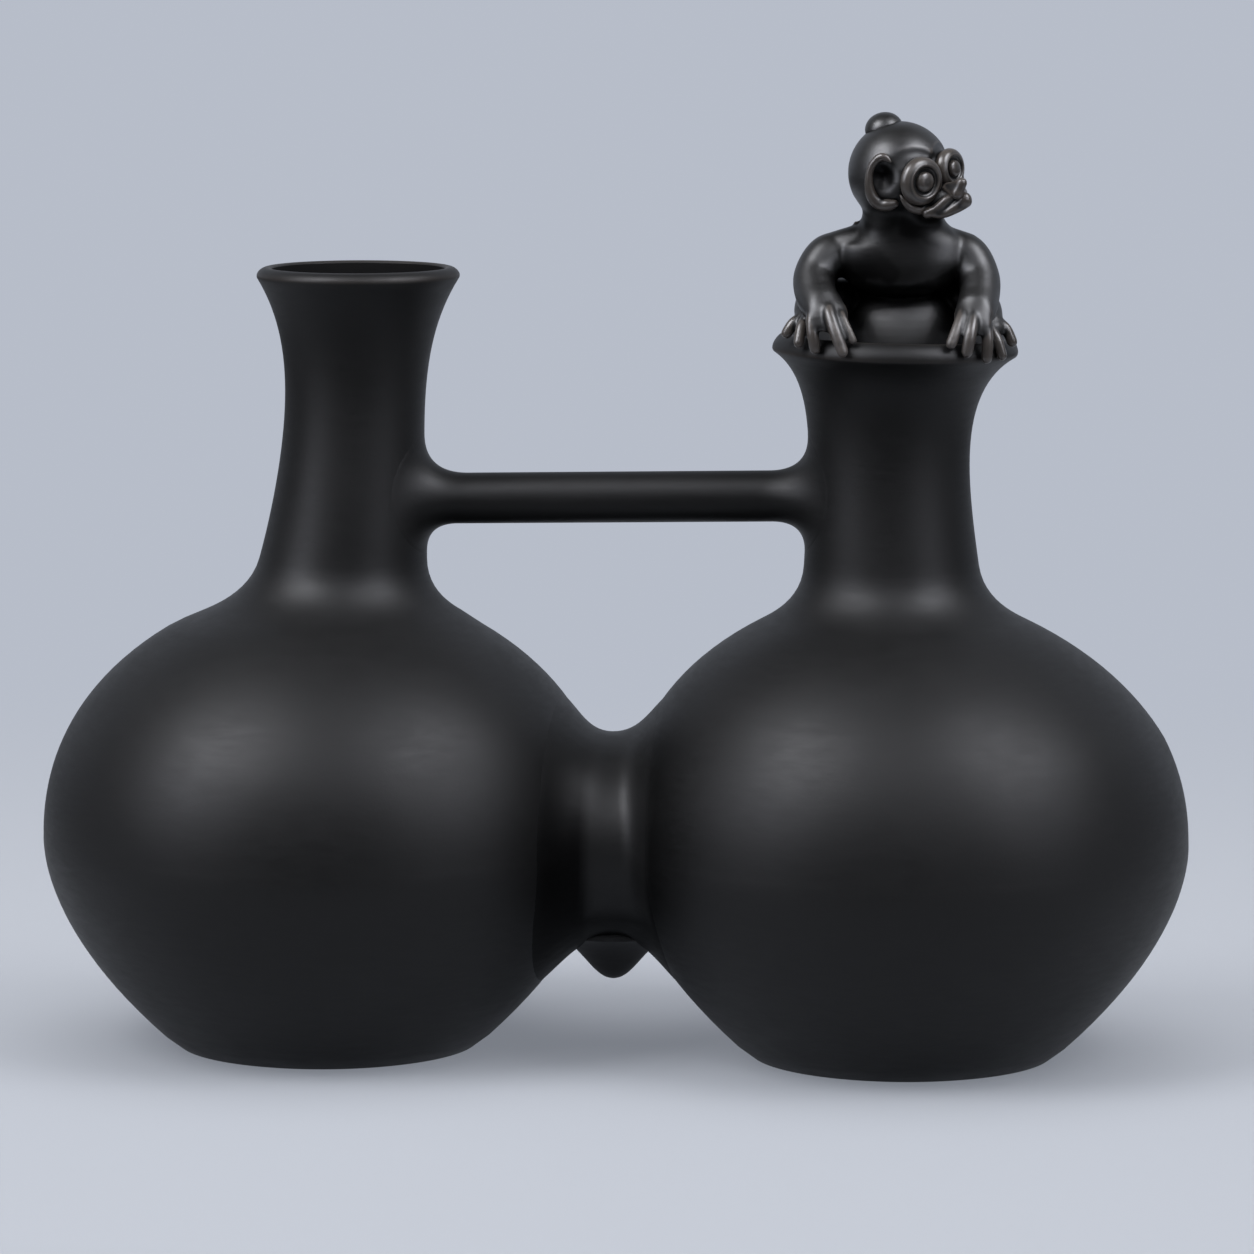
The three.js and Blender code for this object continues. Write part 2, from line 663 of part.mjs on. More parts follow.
const grownRings = [eyeRing(SIDE_R, SEAM), eyeRing(SIDE_L, SEAM)];
const grownPupils = [pupil(SIDE_R, SEAM), pupil(SIDE_L, SEAM)];
const grownEars = [ear(SIDE_R, SEAM), ear(SIDE_L, SEAM)];
const skullSolid = cut(
  skull(0),
  ...grownRings,
  ...grownPupils,
  ...grownEars,
  nose(SEAM),
  upperLip(SEAM),
  lowerLip(SEAM),
  topknot(SEAM),
);
piece(head, 'figure_head', skullSolid, FIGURE_CLAY, FIGURE_ROUGHNESS);
piece(head, 'topknot', topknot(0), FIGURE_CLAY, FIGURE_ROUGHNESS);
for (const [name, side] of [['right', SIDE_R], ['left', SIDE_L]]) {
  const other = eyeRing(-side, SEAM);
  const ring = side === SIDE_L ? cut(eyeRing(side, 0), other) : eyeRing(side, 0);
  piece(head, `${name}_eye_ring`, ring, FIGURE_CLAY, FIGURE_ROUGHNESS);
  piece(head, `${name}_pupil`, pupil(side, 0), FIGURE_CLAY, FIGURE_ROUGHNESS);
  piece(head, `${name}_ear`, ear(side, 0), FIGURE_CLAY, FIGURE_ROUGHNESS);
}
piece(head, 'nose', cut(nose(0), ...grownRings), FIGURE_CLAY, FIGURE_ROUGHNESS);
piece(head, 'upper_lip', cut(upperLip(0), ...grownRings, nose(SEAM)), FIGURE_CLAY, FIGURE_ROUGHNESS);
piece(head, 'lower_lip', cut(lowerLip(0), upperLip(SEAM), nose(SEAM)), FIGURE_CLAY, FIGURE_ROUGHNESS);

// The torso hunches forward over a round belly, hollow inside for the whistle, with a sound hole behind
const HOLLOW_Y = -0.2;

const torso = (grow) => roll(Object.values(SPINE), 14, X_AXIS, grow);

const skullSeat = solid(surface(skull(SEAM)).applyMatrix4(head.matrix));
const dome = HOLLOW_TOP - HOLLOW_RADIUS;
const hollow = roll([
  at(0, HOLLOW_Y, seat - HOLLOW_RADIUS * 2, HOLLOW_RADIUS),
  at(0, HOLLOW_Y, dome, HOLLOW_RADIUS),
], 12, X_AXIS);
const soundHoleAt = [0, HOLLOW_Y + SOUND_HOLE_DEPTH, dome];
const soundHole = drill(SOUND_HOLE_RADIUS, 2 * SOUND_HOLE_DEPTH, Y_AXIS, soundHoleAt);
const torsoSolid = cut(torso(0), plateSeat, skullSeat, hollow, soundHole);
piece(figure, 'figure_torso', torsoSolid, FIGURE_CLAY, FIGURE_ROUGHNESS);

function whistleBall() {
  const centre = [0, HOLLOW_Y, seat + WHISTLE_RADIUS];
  const inside = WHISTLE_RADIUS - WHISTLE_WALL;
  const shell = ball(WHISTLE_RADIUS, WHISTLE_RADIUS, WHISTLE_RADIUS, centre);
  const core = ball(inside, inside, inside, centre);
  const mouth = drill(WHISTLE_MOUTH, WHISTLE_RADIUS * 2, Y_AXIS, [0, HOLLOW_Y - WHISTLE_RADIUS, centre[2]]);
  return cut(shell, core, mouth);
}
piece(figure, 'whistle_ball', whistleBall(), FIGURE_CLAY, FIGURE_ROUGHNESS);

function onLip({ degrees, out, up, wide, deep }) {
  const reach = RIGHT.lipRadius + out;
  return at(reach * Math.sin(radians(degrees)), -reach * Math.cos(radians(degrees)), up, wide, deep);
}

// A finger or toe leaves its hand or foot, bends over the lip and hangs outside it
function digit(palm, tip, across, grow) {
  const degrees = (tip.degrees + 2 * palm.degrees) / 3;
  const root = { ...tip, degrees, out: palm.out - KNUCKLE.in, up: palm.up };
  const knuckle = { ...tip, out: (tip.out - palm.wide / 2) / 2, up: KNUCKLE.up };
  return roll([root, knuckle, tip].map(onLip), FINE_SIDES, across, grow);
}

function arm(side, { wrist, tips }, grow) {
  const limb = Object.values(ARM).map((station) => onSide(station, side));
  const fingers = tips.map((tip) => digit(wrist, tip, X_AXIS, grow));
  return join(roll([...limb, onLip(wrist)], LIMB_SIDES, Y_AXIS, grow), ...fingers);
}

function leg(side, { ankle, tips }, grow) {
  const limb = Object.values(LEG).map((station) => onSide(station, side));
  const toes = tips.map((tip) => digit(ankle, tip, Z_AXIS, grow));
  return join(roll([...limb, onLip(ankle)], LIMB_SIDES, Y_AXIS, grow), ...toes);
}

const torsoSeat = torso(SEAM);
for (const [name, side] of [['right', SIDE_R], ['left', SIDE_L]]) {
  const armSolid = cut(arm(side, HANDS[name], 0), torsoSeat, lipSeat, skullSeat);
  const legSolid = cut(leg(side, FEET[name], 0), torsoSeat, lipSeat, arm(side, HANDS[name], SEAM));
  piece(figure, `${name}_arm`, armSolid, FIGURE_CLAY, FIGURE_ROUGHNESS);
  piece(figure, `${name}_leg`, legSolid, FIGURE_CLAY, FIGURE_ROUGHNESS);
}

export default bottle;
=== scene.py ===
"""Looks of a double whistling bottle of burnished black clay with a squatting monkey on its right neck.

The vessel is turned and luted clay, the monkey is rolled and pressed clay. Metres, +Z up, in the frame of
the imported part: the spout is on -X, the monkey on +X, and the viewer looks along +Y.
"""

import json
import math

import bmesh
import bpy
import numpy as np
from bpy.props import FloatProperty, FloatVectorProperty, IntProperty, PointerProperty
from mathutils import Matrix, Vector
from mathutils.bvhtree import BVHTree
from mathutils.geometry import interpolate_bezier

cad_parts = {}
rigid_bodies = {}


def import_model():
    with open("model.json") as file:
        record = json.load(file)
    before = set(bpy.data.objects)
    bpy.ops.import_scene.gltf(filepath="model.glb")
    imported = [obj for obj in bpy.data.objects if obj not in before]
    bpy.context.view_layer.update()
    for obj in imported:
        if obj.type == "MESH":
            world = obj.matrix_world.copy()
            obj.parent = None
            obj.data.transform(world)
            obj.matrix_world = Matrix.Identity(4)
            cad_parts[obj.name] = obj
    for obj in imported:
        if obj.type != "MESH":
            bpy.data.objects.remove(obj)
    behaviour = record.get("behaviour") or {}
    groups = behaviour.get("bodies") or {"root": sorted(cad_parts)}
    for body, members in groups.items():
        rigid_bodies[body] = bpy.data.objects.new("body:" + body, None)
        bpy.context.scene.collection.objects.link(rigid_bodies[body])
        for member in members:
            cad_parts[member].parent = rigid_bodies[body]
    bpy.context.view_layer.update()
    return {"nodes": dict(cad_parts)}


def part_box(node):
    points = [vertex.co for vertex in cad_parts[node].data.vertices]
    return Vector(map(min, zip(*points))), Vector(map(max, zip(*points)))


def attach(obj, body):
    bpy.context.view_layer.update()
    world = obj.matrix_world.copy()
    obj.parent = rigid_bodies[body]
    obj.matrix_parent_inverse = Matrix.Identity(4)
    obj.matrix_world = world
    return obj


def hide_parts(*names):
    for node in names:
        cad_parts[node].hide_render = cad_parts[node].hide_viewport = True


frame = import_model()

bl_info = {
    "name": "Whistling bottle",
    "version": (1, 0, 0),
    "blender": (4, 5, 0),
    "location": "View3D > Sidebar > Bottle",
    "description": "Double whistling bottle of burnished black clay, with its studio",
    "category": "Object",
}

MM = 0.001
BOWL_LOW, BOWL_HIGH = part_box("left_chamber_bowl")
BELLY_RADIUS = (BOWL_HIGH.y - BOWL_LOW.y) / 2
AXIS_OFFSET = -BOWL_LOW.x - BELLY_RADIUS
LEFT, RIGHT = -1, 1

# How far the turned bellies stay inside the solids, and the halvings that find a place on a curve
BELLY_CLEARANCE = 0.00002
HALVINGS = 30


def length(name, description, default):
    return FloatProperty(name=name, description=description, default=default, unit="LENGTH", precision=5)


def angle(name, description, degrees):
    return FloatProperty(
        name=name, description=description, default=math.radians(degrees), subtype="ANGLE", unit="ROTATION"
    )


def share(name, description, default):
    return FloatProperty(name=name, description=description, default=default, min=0, max=1, subtype="FACTOR")


def colour(name, description, default):
    return FloatVectorProperty(
        name=name, description=description, default=default, size=3, min=0, max=1, subtype="COLOR"
    )


class VesselSizes(bpy.types.PropertyGroup):
    """Both chambers, which are alike, with the walls of the vessel"""

    belly_radius: length("Belly radius", "Widest radius of a chamber", BELLY_RADIUS - BELLY_CLEARANCE)
    belly_height: length("Belly height", "Height of the widest place", 0.0418)
    foot_radius: length("Foot radius", "Radius of the flat foot", 0.0294)
    foot_edge: length("Foot edge", "Rounding where the foot meets the wall", 0.0012)
    foot_out: length("Foot flare out", "Pull of the wall outwards from the foot", 0.027)
    foot_up: length("Foot flare up", "Pull of the wall upwards from the foot", 0.0235)
    below: length("Fullness below", "Straight pull below the belly", 0.001)
    above: length("Fullness above", "Straight pull above the belly", 0.0124)
    crown_radius: length("Crown radius", "Radius that the shoulder aims at", 0.0167)
    crown_height: length("Crown height", "Height that the shoulder aims at", 0.088)
    crown_out: length("Crown flare out", "Pull of the shoulder outwards", 0.0334)
    crown_down: length("Crown flare down", "Pull of the shoulder downwards", 0.0124)
    shoulder_share: share("Shoulder share", "Part of the shoulder curve below the collar", 0.9)
    shoulder_pull: length("Shoulder pull", "Pull of the collar along the shoulder", 0.0035)
    root_pull: length("Root pull", "Pull of the collar along the neck", 0.0065)
    root_height: length("Root height", "Height where the neck begins", 0.095)
    chamber_wall: length("Chamber wall", "Thickness of the chamber", 0.0045)
    neck_wall: length("Neck wall", "Thickness of the neck", 0.0034)
    turn_steps: IntProperty(name="Turn steps", description="Facets around a bottle", default=128, min=24)


class SpoutNeck(bpy.types.PropertyGroup):
    """Left neck, the open spout"""

    root_radius: length("Root radius", "Radius of the neck at its root", 0.0162)
    rise_in: length("Rise inwards", "Pull of the neck inwards from its root", 0.0034)
    rise_up: length("Rise upwards", "Pull of the neck upwards from its root", 0.025)
    lip_radius: length("Lip radius", "Outer radius of the lip", 0.0194)
    lip_height: length("Lip height", "Height of the lip's outer edge", 0.1492)
    flare_in: length("Lip flare inwards", "Pull of the lip inwards", 0.008)
    flare_down: length("Lip flare down", "Pull of the lip downwards", 0.013)
    lip_wall: length("Lip wall", "Thickness of the lip", 0.0032)
    lip_roll: length("Lip roll", "Height of the rounded edge", 0.0011)
    lean: length("Lean", "Sideways place of the lip's middle", 0.0067)
    lean_from: length("Lean from", "Height where the lean begins", 0.082)
    pull_x: length("Lean pull sideways", "Sideways place that the lean aims at", 0.0056)
    pull_z: length("Lean pull height", "Height that the lean aims at", 0.091)
    dip: angle("Mouth dip", "Slope of the mouth", 0)


class FigureNeck(bpy.types.PropertyGroup):
    """Right neck, which carries the figure"""

    root_radius: length("Root radius", "Radius of the neck at its root", 0.01675)
    rise_in: length("Rise inwards", "Pull of the neck inwards from its root", 0.00175)
    rise_up: length("Rise upwards", "Pull of the neck upwards from its root", 0.018)
    lip_radius: length("Lip radius", "Outer radius of the lip", 0.0231)
    lip_height: length("Lip height", "Height of the lip's outer edge", 0.1356)
    flare_in: length("Lip flare inwards", "Pull of the lip inwards", 0.0099)
    flare_down: length("Lip flare down", "Pull of the lip downwards", 0.0062)
    lip_wall: length("Lip wall", "Thickness of the lip", 0.0042)
    lip_roll: length("Lip roll", "Height of the rounded edge", 0.0011)
    lean: length("Lean", "Sideways place of the lip's middle", -0.002)
    lean_from: length("Lean from", "Height where the lean begins", 0.062)
    pull_x: length("Lean pull sideways", "Sideways place that the lean aims at", -0.0046)
    pull_z: length("Lean pull height", "Height that the lean aims at", 0.112)
    dip: angle("Mouth dip", "Slope of the mouth", 1.33)


class LinkSizes(bpy.types.PropertyGroup):
    """Bridge handle, connecting tube and nub"""

    bar_radius: length("Bar radius", "Radius of the bridge handle", 0.0049)
    bar_height: length("Bar height", "Height of the bar's middle", 0.1074)
    bar_slope: angle("Bar slope", "Rise of the bar towards the figure", 0.8)
    bar_fillet: length("Bar fillet", "Spread of the trumpet ends", 0.0075)
    bar_fillet_low: length("Bar fillet below", "Spread of the trumpet ends on their underside", 0.0058)
    tube_radius: length("Tube radius", "Radius of the collar at its waist", 0.0198)
    tube_depth: length("Tube fullness", "How much deeper than tall the collar is", 0.005)
    tube_front: length("Tube reach in front", "Rise of the collar to the chambers in front", 0.0055)
    tube_above: length("Tube reach above", "Rise of the collar to the chambers above", 0.0068)
    tube_below: length("Tube reach below", "Rise of the collar to the chambers below", 0.0085)
    tube_skew: length("Tube skew", "How much further the collar runs out on the left chamber", 0.0012)
    tube_shift: length("Tube shift", "How far the waist turns to the right in front", 0.0037)
    tube_bore: length("Tube bore", "Radius of the bore between the chambers", 0.015)
    nub_radius: length("Nub radius", "Radius of the nub at its root", 0.0095)
    nub_drop: length("Nub drop", "Height of the nub below the tube", 0.0084)


class FigureSizes(bpy.types.PropertyGroup):
    """Monkey: its place on the lip and the main sizes of its head"""

    turn: angle("Turn", "Turn of the figure", 5)
    lift: length("Lift", "Height of its frame above the lip's edge", 0.0004)
    head_turn: angle("Head turn", "Turn of the head on the shoulders", 45)
    head_roll: angle("Head roll", "Sideways roll of the head", -20)
    cranium: length("Cranium radius", "Radius of the skull", 0.0097)
    eye_splay: angle("Eye splay", "Turn of each eye outwards", 9)
    grain: length("Grain", "Cell size of the fused body and head", 0.0003)
    trim_grain: length("Trim grain", "Cell size of the fused rolls on the face", 0.00024)


class ClayFinish(bpy.types.PropertyGroup):
    """Colours and gloss of the clay"""

    clay: colour("Clay", "Body colour of the fired clay", (0.0036, 0.0036, 0.0038))
    figure: colour("Figure clay", "Body colour of the figure", (0.0038, 0.0036, 0.0035))
    worn: colour("Worn clay", "Warm colour of rubbed edges", (0.068, 0.058, 0.052))
    vessel_gloss: share("Vessel roughness", "Roughness of the vessel", 0.51)
    figure_gloss: share("Figure roughness", "Roughness of the figure", 0.42)


class StudioSizes(bpy.types.PropertyGroup):
    """Camera, lamps and sweep"""

    distance: length("Camera distance", "From the target to the camera", 1.21309)
    pitch: angle("Camera pitch", "How far the camera looks down", 7.45)
    azimuth: angle("Camera azimuth", "How far the camera stands towards +X", 6.2)
    target: FloatVectorProperty(
        name="Target", description="Point in the middle of the image", default=(0.00266, 0, 0.08225), size=3,
        subtype="TRANSLATION", unit="LENGTH", precision=5,
    )
    lens: FloatProperty(name="Lens", description="Focal length in millimetres", default=180.92)
    floor: colour("Floor", "Colour of the sweep", (0.432, 0.452, 0.497))
    backdrop: colour("Backdrop", "Colour of the sweep far behind", (0.475, 0.51, 0.585))


class BottleSettings(bpy.types.PropertyGroup):
    """All sizes and colours of the bottle and its studio"""

    vessel: PointerProperty(type=VesselSizes)
    spout: PointerProperty(type=SpoutNeck)
    figure_neck: PointerProperty(type=FigureNeck)
    link: PointerProperty(type=LinkSizes)
    figure: PointerProperty(type=FigureSizes)
    finish: PointerProperty(type=ClayFinish)
    studio: PointerProperty(type=StudioSizes)


def settings():
    return bpy.context.scene.whistling_bottle


def held(value, start, end):
    """How far a value has come from start to end, held between 0 and 1"""
    return min(max((value - start) / (end - start), 0), 1)


def eased(part):
    """Smooth step of a part between 0 and 1"""
    return part * part * (3 - 2 * part)


# Materials


def add(tree, kind, **values):
    """A node with its properties and unlinked inputs set"""
    node = tree.nodes.new(kind)
    for name, value in values.items():
        if name in node.inputs:
            node.inputs[name].default_value = value
        else:
            setattr(node, name, value)
    return node


def ramp(tree, source, given, wanted, **values):
    """Maps a value from one range to another"""
    node = add(tree, "ShaderNodeMapRange", **values)
    tree.links.new(source, node.inputs["Value"])
    for name, value in zip(("From Min", "From Max", "To Min", "To Max"), (*given, *wanted)):
        node.inputs[name].default_value = value
    return node.outputs["Result"]


def math_node(tree, operation, first, second):
    node = add(tree, "ShaderNodeMath", operation=operation)
    for socket, value in zip(node.inputs, (first, second)):
        if isinstance(value, (int, float)):
            socket.default_value = value
        else:
            tree.links.new(value, socket)
    return node.outputs["Value"]


def noise(tree, coordinates, **values):
    node = add(tree, "ShaderNodeTexNoise", **values)
    tree.links.new(coordinates, node.inputs["Vector"])
    return node.outputs["Fac"]


def attribute(tree, name):
    return add(tree, "ShaderNodeAttribute", attribute_name=name).outputs["Fac"]


def mix_colour(tree, factor, first, second):
    node = add(tree, "ShaderNodeMix", data_type="RGBA")
    tree.links.new(factor, node.inputs["Factor"])
    for socket, value in zip((node.inputs[6], node.inputs[7]), (first, second)):
        if isinstance(value, bpy.types.NodeSocket):
            tree.links.new(value, socket)
        else:
            socket.default_value = (*value, 1)
    return node.outputs[2]


# Ranges of the noise, and of what it makes of wear, shade and gloss
MOTTLED, BRUSHED = (0.3, 0.7), (0.7, 1.3)
WORN_PATCHES = (0.55, 1.15)
CLOUDS = (0.82, 1.22)
GLOSS_SPREAD = 0.05

# How much of the colour and gloss the painted shade takes away at most, how much rougher tooled clay is and
# how much smoother worn clay is
PAINTED_SHADE_LOSS = 0.8
TOOLED_ROUGHER = 0.2
WORN_SMOOTHER = 0.1
GRAIN_DEPTH = 0.00003
STROKE_DEPTH = 0.00012
STROKE_STRETCH = (1, 1, 5)


def clay_material(name, base, roughness, level, grain, strokes):
    """Burnished clay: fine grain, burnishing strokes, mottled gloss, warm wear on the raised edges, and
    painted shade that darkens the colour and weakens the gloss in hollows
    """
    material = bpy.data.materials.new(name)
    material.use_nodes = True
    tree = material.node_tree
    link = tree.links.new
    shader = tree.nodes["Principled BSDF"]
    place = add(tree, "ShaderNodeTexCoord").outputs["Object"]
    stretch = add(tree, "ShaderNodeMapping", Scale=STROKE_STRETCH)
    link(place, stretch.inputs["Vector"])

    mottle = noise(tree, place, Scale=45, Detail=4)
    cloud = noise(tree, place, Scale=14, Detail=2)
    grains = noise(tree, place, Scale=1500, Detail=3, Roughness=0.6, Distortion=0.6)
    brush = noise(tree, stretch.outputs["Vector"], Scale=190, Detail=5, Roughness=0.62)

    worn = attribute(tree, "wear")
    patchy = math_node(tree, "MULTIPLY", worn, ramp(tree, mottle, MOTTLED, WORN_PATCHES))
    # Painted shade: darkens the body colour and weakens the gloss in hollows, grooves and under the chin
    shade_part = math_node(tree, "MULTIPLY", attribute(tree, "painted_shade"), PAINTED_SHADE_LOSS)
    unshaded = math_node(tree, "SUBTRACT", 1, shade_part)
    dark = add(tree, "ShaderNodeVectorMath", operation="SCALE")
    dark.inputs[0].default_value = base
    link(math_node(tree, "MULTIPLY", ramp(tree, cloud, MOTTLED, CLOUDS), unshaded), dark.inputs["Scale"])
    link(math_node(tree, "MULTIPLY", unshaded, level), shader.inputs["Specular IOR Level"])
    rubbed = mix_colour(tree, patchy, dark.outputs["Vector"], settings().finish.worn)
    link(rubbed, shader.inputs["Base Color"])

    spread_out = (roughness - GLOSS_SPREAD, roughness + GLOSS_SPREAD)
    gloss = ramp(tree, math_node(tree, "ADD", mottle, brush), BRUSHED, spread_out)
    gloss = math_node(tree, "SUBTRACT", gloss, math_node(tree, "MULTIPLY", worn, WORN_SMOOTHER))
    tooled = math_node(tree, "MULTIPLY", attribute(tree, "tooled"), TOOLED_ROUGHER)
    link(math_node(tree, "ADD", gloss, tooled), shader.inputs["Roughness"])

    fine = add(tree, "ShaderNodeBump", Strength=grain, Distance=GRAIN_DEPTH)
    link(grains, fine.inputs["Height"])
    broad = add(tree, "ShaderNodeBump", Strength=strokes, Distance=STROKE_DEPTH)
    link(brush, broad.inputs["Height"])
    link(fine.outputs["Normal"], broad.inputs["Normal"])
    link(broad.outputs["Normal"], shader.inputs["Normal"])
    return material


def clay(name, *looks, **marks):
    """The clay of this name, made when it is first asked for"""
    return bpy.data.materials.get(name) or clay_material(name, *looks, **marks)


def vessel_clay():
    finish = settings().finish
    return clay("burnished_clay", finish.clay, finish.vessel_gloss, level=0.27, grain=0.5, strokes=0.12)


def inside_shaded_clay():
    """Clay inside the vessel: never burnished, and with painted shade that halves its colour and takes away
    most of its gloss
    """
    shaded_colour = [part * 0.5 for part in settings().finish.clay]
    return clay("inside_clay_with_painted_shade", shaded_colour, roughness=0.8, level=0.06, grain=1.0, strokes=0.3)


def figure_clay():
    finish = settings().finish
    return clay("polished_clay", finish.figure, finish.figure_gloss, level=0.66, grain=0.25, strokes=0.25)


# Pieces


def edge_ends(mesh):
    """Points at the ends of the mesh's edges, as two rows"""
    ends = np.empty(len(mesh.edges) * 2, int)
    mesh.edges.foreach_get("vertices", ends)
    return ends.reshape(-1, 2).T


def valence(ends, count):
    """Edges at each point"""
    return np.maximum(np.bincount(ends.ravel(), minlength=count), 1)


def spread(values, ends, passes):
    """Evens the values at the points out along the edges"""
    one, two = ends
    count = len(values)
    edges = valence(ends, count)
    for _ in range(passes):
        total = np.bincount(one, values[two], count) + np.bincount(two, values[one], count)
        values = (values + total / edges) / 2
    return values


def keep(mesh, name, values):
    """Keeps a value at each point in an attribute of the mesh"""
    mesh.attributes.new(name, "FLOAT", "POINT").data.foreach_set("value", values)


# Bulge in 1/m where wear begins and where it is full
VESSEL_WEAR = (180, 900)
BODY_WEAR = (220, 520)
KNOT_WEAR = (260, 900)
EYE_WEAR = (20, 400)
EAR_WEAR = (120, 480)
MOUTH_WEAR = (120, 520)
SHORTEST = 1e-14


def mark_wear(mesh, low, high):
    """Keeps in the attribute wear how sharply the surface bulges, from low to high"""
    count = len(mesh.vertices)
    co = np.empty(count * 3)
    normal = np.empty(count * 3)
    mesh.vertices.foreach_get("co", co)
    mesh.vertices.foreach_get("normal", normal)
    co, normal = co.reshape(-1, 3), normal.reshape(-1, 3)
    ends = edge_ends(mesh)
    one, two = ends
    step = co[one] - co[two]
    square = np.maximum((step ** 2).sum(1), SHORTEST)
    bend = np.bincount(one, 2 * (step * normal[one]).sum(1) / square, count)
    bend -= np.bincount(two, 2 * (step * normal[two]).sum(1) / square, count)
    bend = spread(bend / valence(ends, count), ends, passes=4)
    keep(mesh, "wear", eased(np.clip((bend - low) / (high - low), 0, 1)))


# Rays that feel for hollows, and the part of them shut off where the painted shade begins and where it is
# full
HOLLOW_RAYS = 24
HOLLOW_LIFT = 0.00015
HOLLOW_REACH = 0.02
HOLLOW_FROM, HOLLOW_TO = 0.2, 0.65
GRAZING = 0.1
# How much painted shade the marks under the chin and in the ear bowls add
MARKED_SHADE = 0.45


def mark_hollows(pieces):
    """Keeps as painted shade how far each point of the pieces is shut off from the light round it"""
    verts, faces = [], []
    for piece in pieces:
        start = len(verts)
        verts += [vert.co.copy() for vert in piece.data.vertices]
        faces += [[start + k for k in polygon.vertices] for polygon in piece.data.polygons]
    tree = BVHTree.FromPolygons(verts, faces)
    golden = math.pi * (3 - math.sqrt(5))
    rays = []
    for k in range(HOLLOW_RAYS):
        z = 1 - (2 * k + 1) / HOLLOW_RAYS
        wide = math.sqrt(1 - z * z)
        rays.append(Vector((wide * math.cos(golden * k), wide * math.sin(golden * k), z)))
    for piece in pieces:
        mesh = piece.data
        shut = np.zeros(len(mesh.vertices))
        for vert in mesh.vertices:
            normal = vert.normal
            start = vert.co + normal * HOLLOW_LIFT
            total = hit = 0.0
            for ray in rays:
                lean = normal.dot(ray)
                if lean > GRAZING:
                    total += lean
                    if tree.ray_cast(start, ray, HOLLOW_REACH)[0] is not None:
                        hit += lean
            shut[vert.index] = hit / total
        shut = spread(shut, edge_ends(mesh), passes=5)
        # Adds the painted shade marked under the chin and in the ear bowls
        if "pressed" in mesh.attributes:
            pressed = np.empty(len(shut), np.float32)
            mesh.attributes["pressed"].data.foreach_get("value", pressed)
            shut += MARKED_SHADE * pressed
        keep(mesh, "painted_shade", eased(np.clip((shut - HOLLOW_FROM) / (HOLLOW_TO - HOLLOW_FROM), 0, 1)))


def placed(name, bm):
    """New object in the scene with the bmesh as its mesh"""
    mesh = bpy.data.meshes.new(name)
    bm.to_mesh(mesh)
    bm.free()
    piece = bpy.data.objects.new(name, mesh)
    bpy.context.scene.collection.objects.link(piece)
    return piece


def discard(piece):
    mesh = piece.data
    bpy.data.objects.remove(piece)
    bpy.data.meshes.remove(mesh)


def finished(name, bm, material, nodes, wear):
    """Makes the object of a piece, which rides on the vessel and stands for its nodes"""
    piece = placed(name, bm)
    piece.data.shade_smooth()
    mark_wear(piece.data, *wear)
    piece.data.materials.append(material)
    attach(piece, "root")
    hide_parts(*nodes)
    return piece


def vessel_piece(name, bm, *nodes):
    return finished(name, bm, vessel_clay(), nodes, VESSEL_WEAR)


def figure_piece(name, bm, wear, *nodes):
    return finished(name, bm, figure_clay(), nodes, wear)


def with_modifier(bm, kind, **values):
    """The bmesh as a modifier leaves it"""
    lump = placed("clay", bm)
    modifier = lump.modifiers.new("work", kind)
    for name, value in values.items():
        setattr(modifier, name, value)
    worked = bmesh.new()
    worked.from_object(lump, bpy.context.evaluated_depsgraph_get())
    discard(lump)
    return worked


def fused(bm, voxel, passes):
    """Presses overlapping lumps into one skin and smooths it"""
    worked = with_modifier(bm, "REMESH", mode="VOXEL", voxel_size=voxel)
    soften(worked, passes)
    return worked


def soften(bm, passes, verts=None):
    """Smooths the clay, all of it or only the given points"""
    for _ in range(passes):
        bmesh.ops.smooth_vert(
            bm, verts=verts or bm.verts, factor=0.5, use_axis_x=True, use_axis_y=True, use_axis_z=True
        )


def join(bm, other):
    """Adds another bmesh to this one"""
    lump = placed("clay", other)
    bm.from_mesh(lump.data)
    discard(lump)


def cut_out(bm, tool):
    """The bmesh less the tool, both closed"""
    cutter = placed("tool", tool)
    worked = with_modifier(bm, "BOOLEAN", operation="DIFFERENCE", solver="EXACT", object=cutter)
    discard(cutter)
    return worked


# Distance at which points are one, in metres, and in a mesh that is turned in millimetres
MERGE, MERGE_MM = 1e-7, 1e-4


def turned(outline, steps, merge=MERGE):
    """Spins an outline of (radius, height) points round Z"""
    bm = bmesh.new()
    verts = [bm.verts.new((radius, 0, height)) for radius, height in outline]
    edges = [bm.edges.new(pair) for pair in zip(verts, verts[1:])]
    bmesh.ops.spin(
        bm, geom=verts + edges, axis=(0, 0, 1), cent=(0, 0, 0), angle=2 * math.pi, steps=steps, use_merge=True
    )
    bmesh.ops.remove_doubles(bm, verts=bm.verts, dist=merge)
    bmesh.ops.recalc_face_normals(bm, faces=bm.faces)
    return bm


def smooth_path(points, steps):
    """Points on a smooth curve through the given ones, steps to a span"""
    points = [Vector(point) for point in points]
    path = []
    for i in range(len(points) - 1):
        before, start, end, after = (points[min(max(i + k, 0), len(points) - 1)] for k in (-1, 0, 1, 2))
        for k in range(steps):
            t = k / steps
            path.append(
                start
                + (end - before) * (t / 2)
                + (2 * before - 5 * start + 4 * end - after) * (t * t / 2)
                + (3 * start - before - 3 * end + after) * (t ** 3 / 2)
            )
    return path + [points[-1]]


# Vessel


def curve(start, pull, aim, end, steps):
    """Cubic curve in the plane of the outline, as (radius, height) points"""
    points = interpolate_bezier(*(Vector((p[0], p[1], 0)) for p in (start, pull, aim, end)), steps)
    return [p.to_2d() for p in points]


def split(points, at):
    """Part of a cubic curve up to a share of it, by de Casteljau"""
    p0, p1, p2, p3 = (Vector(p) for p in points)
    a, b, c = p0.lerp(p1, at), p1.lerp(p2, at), p2.lerp(p3, at)
    d, e = a.lerp(b, at), b.lerp(c, at)
    return p0, a, d, d.lerp(e, at)


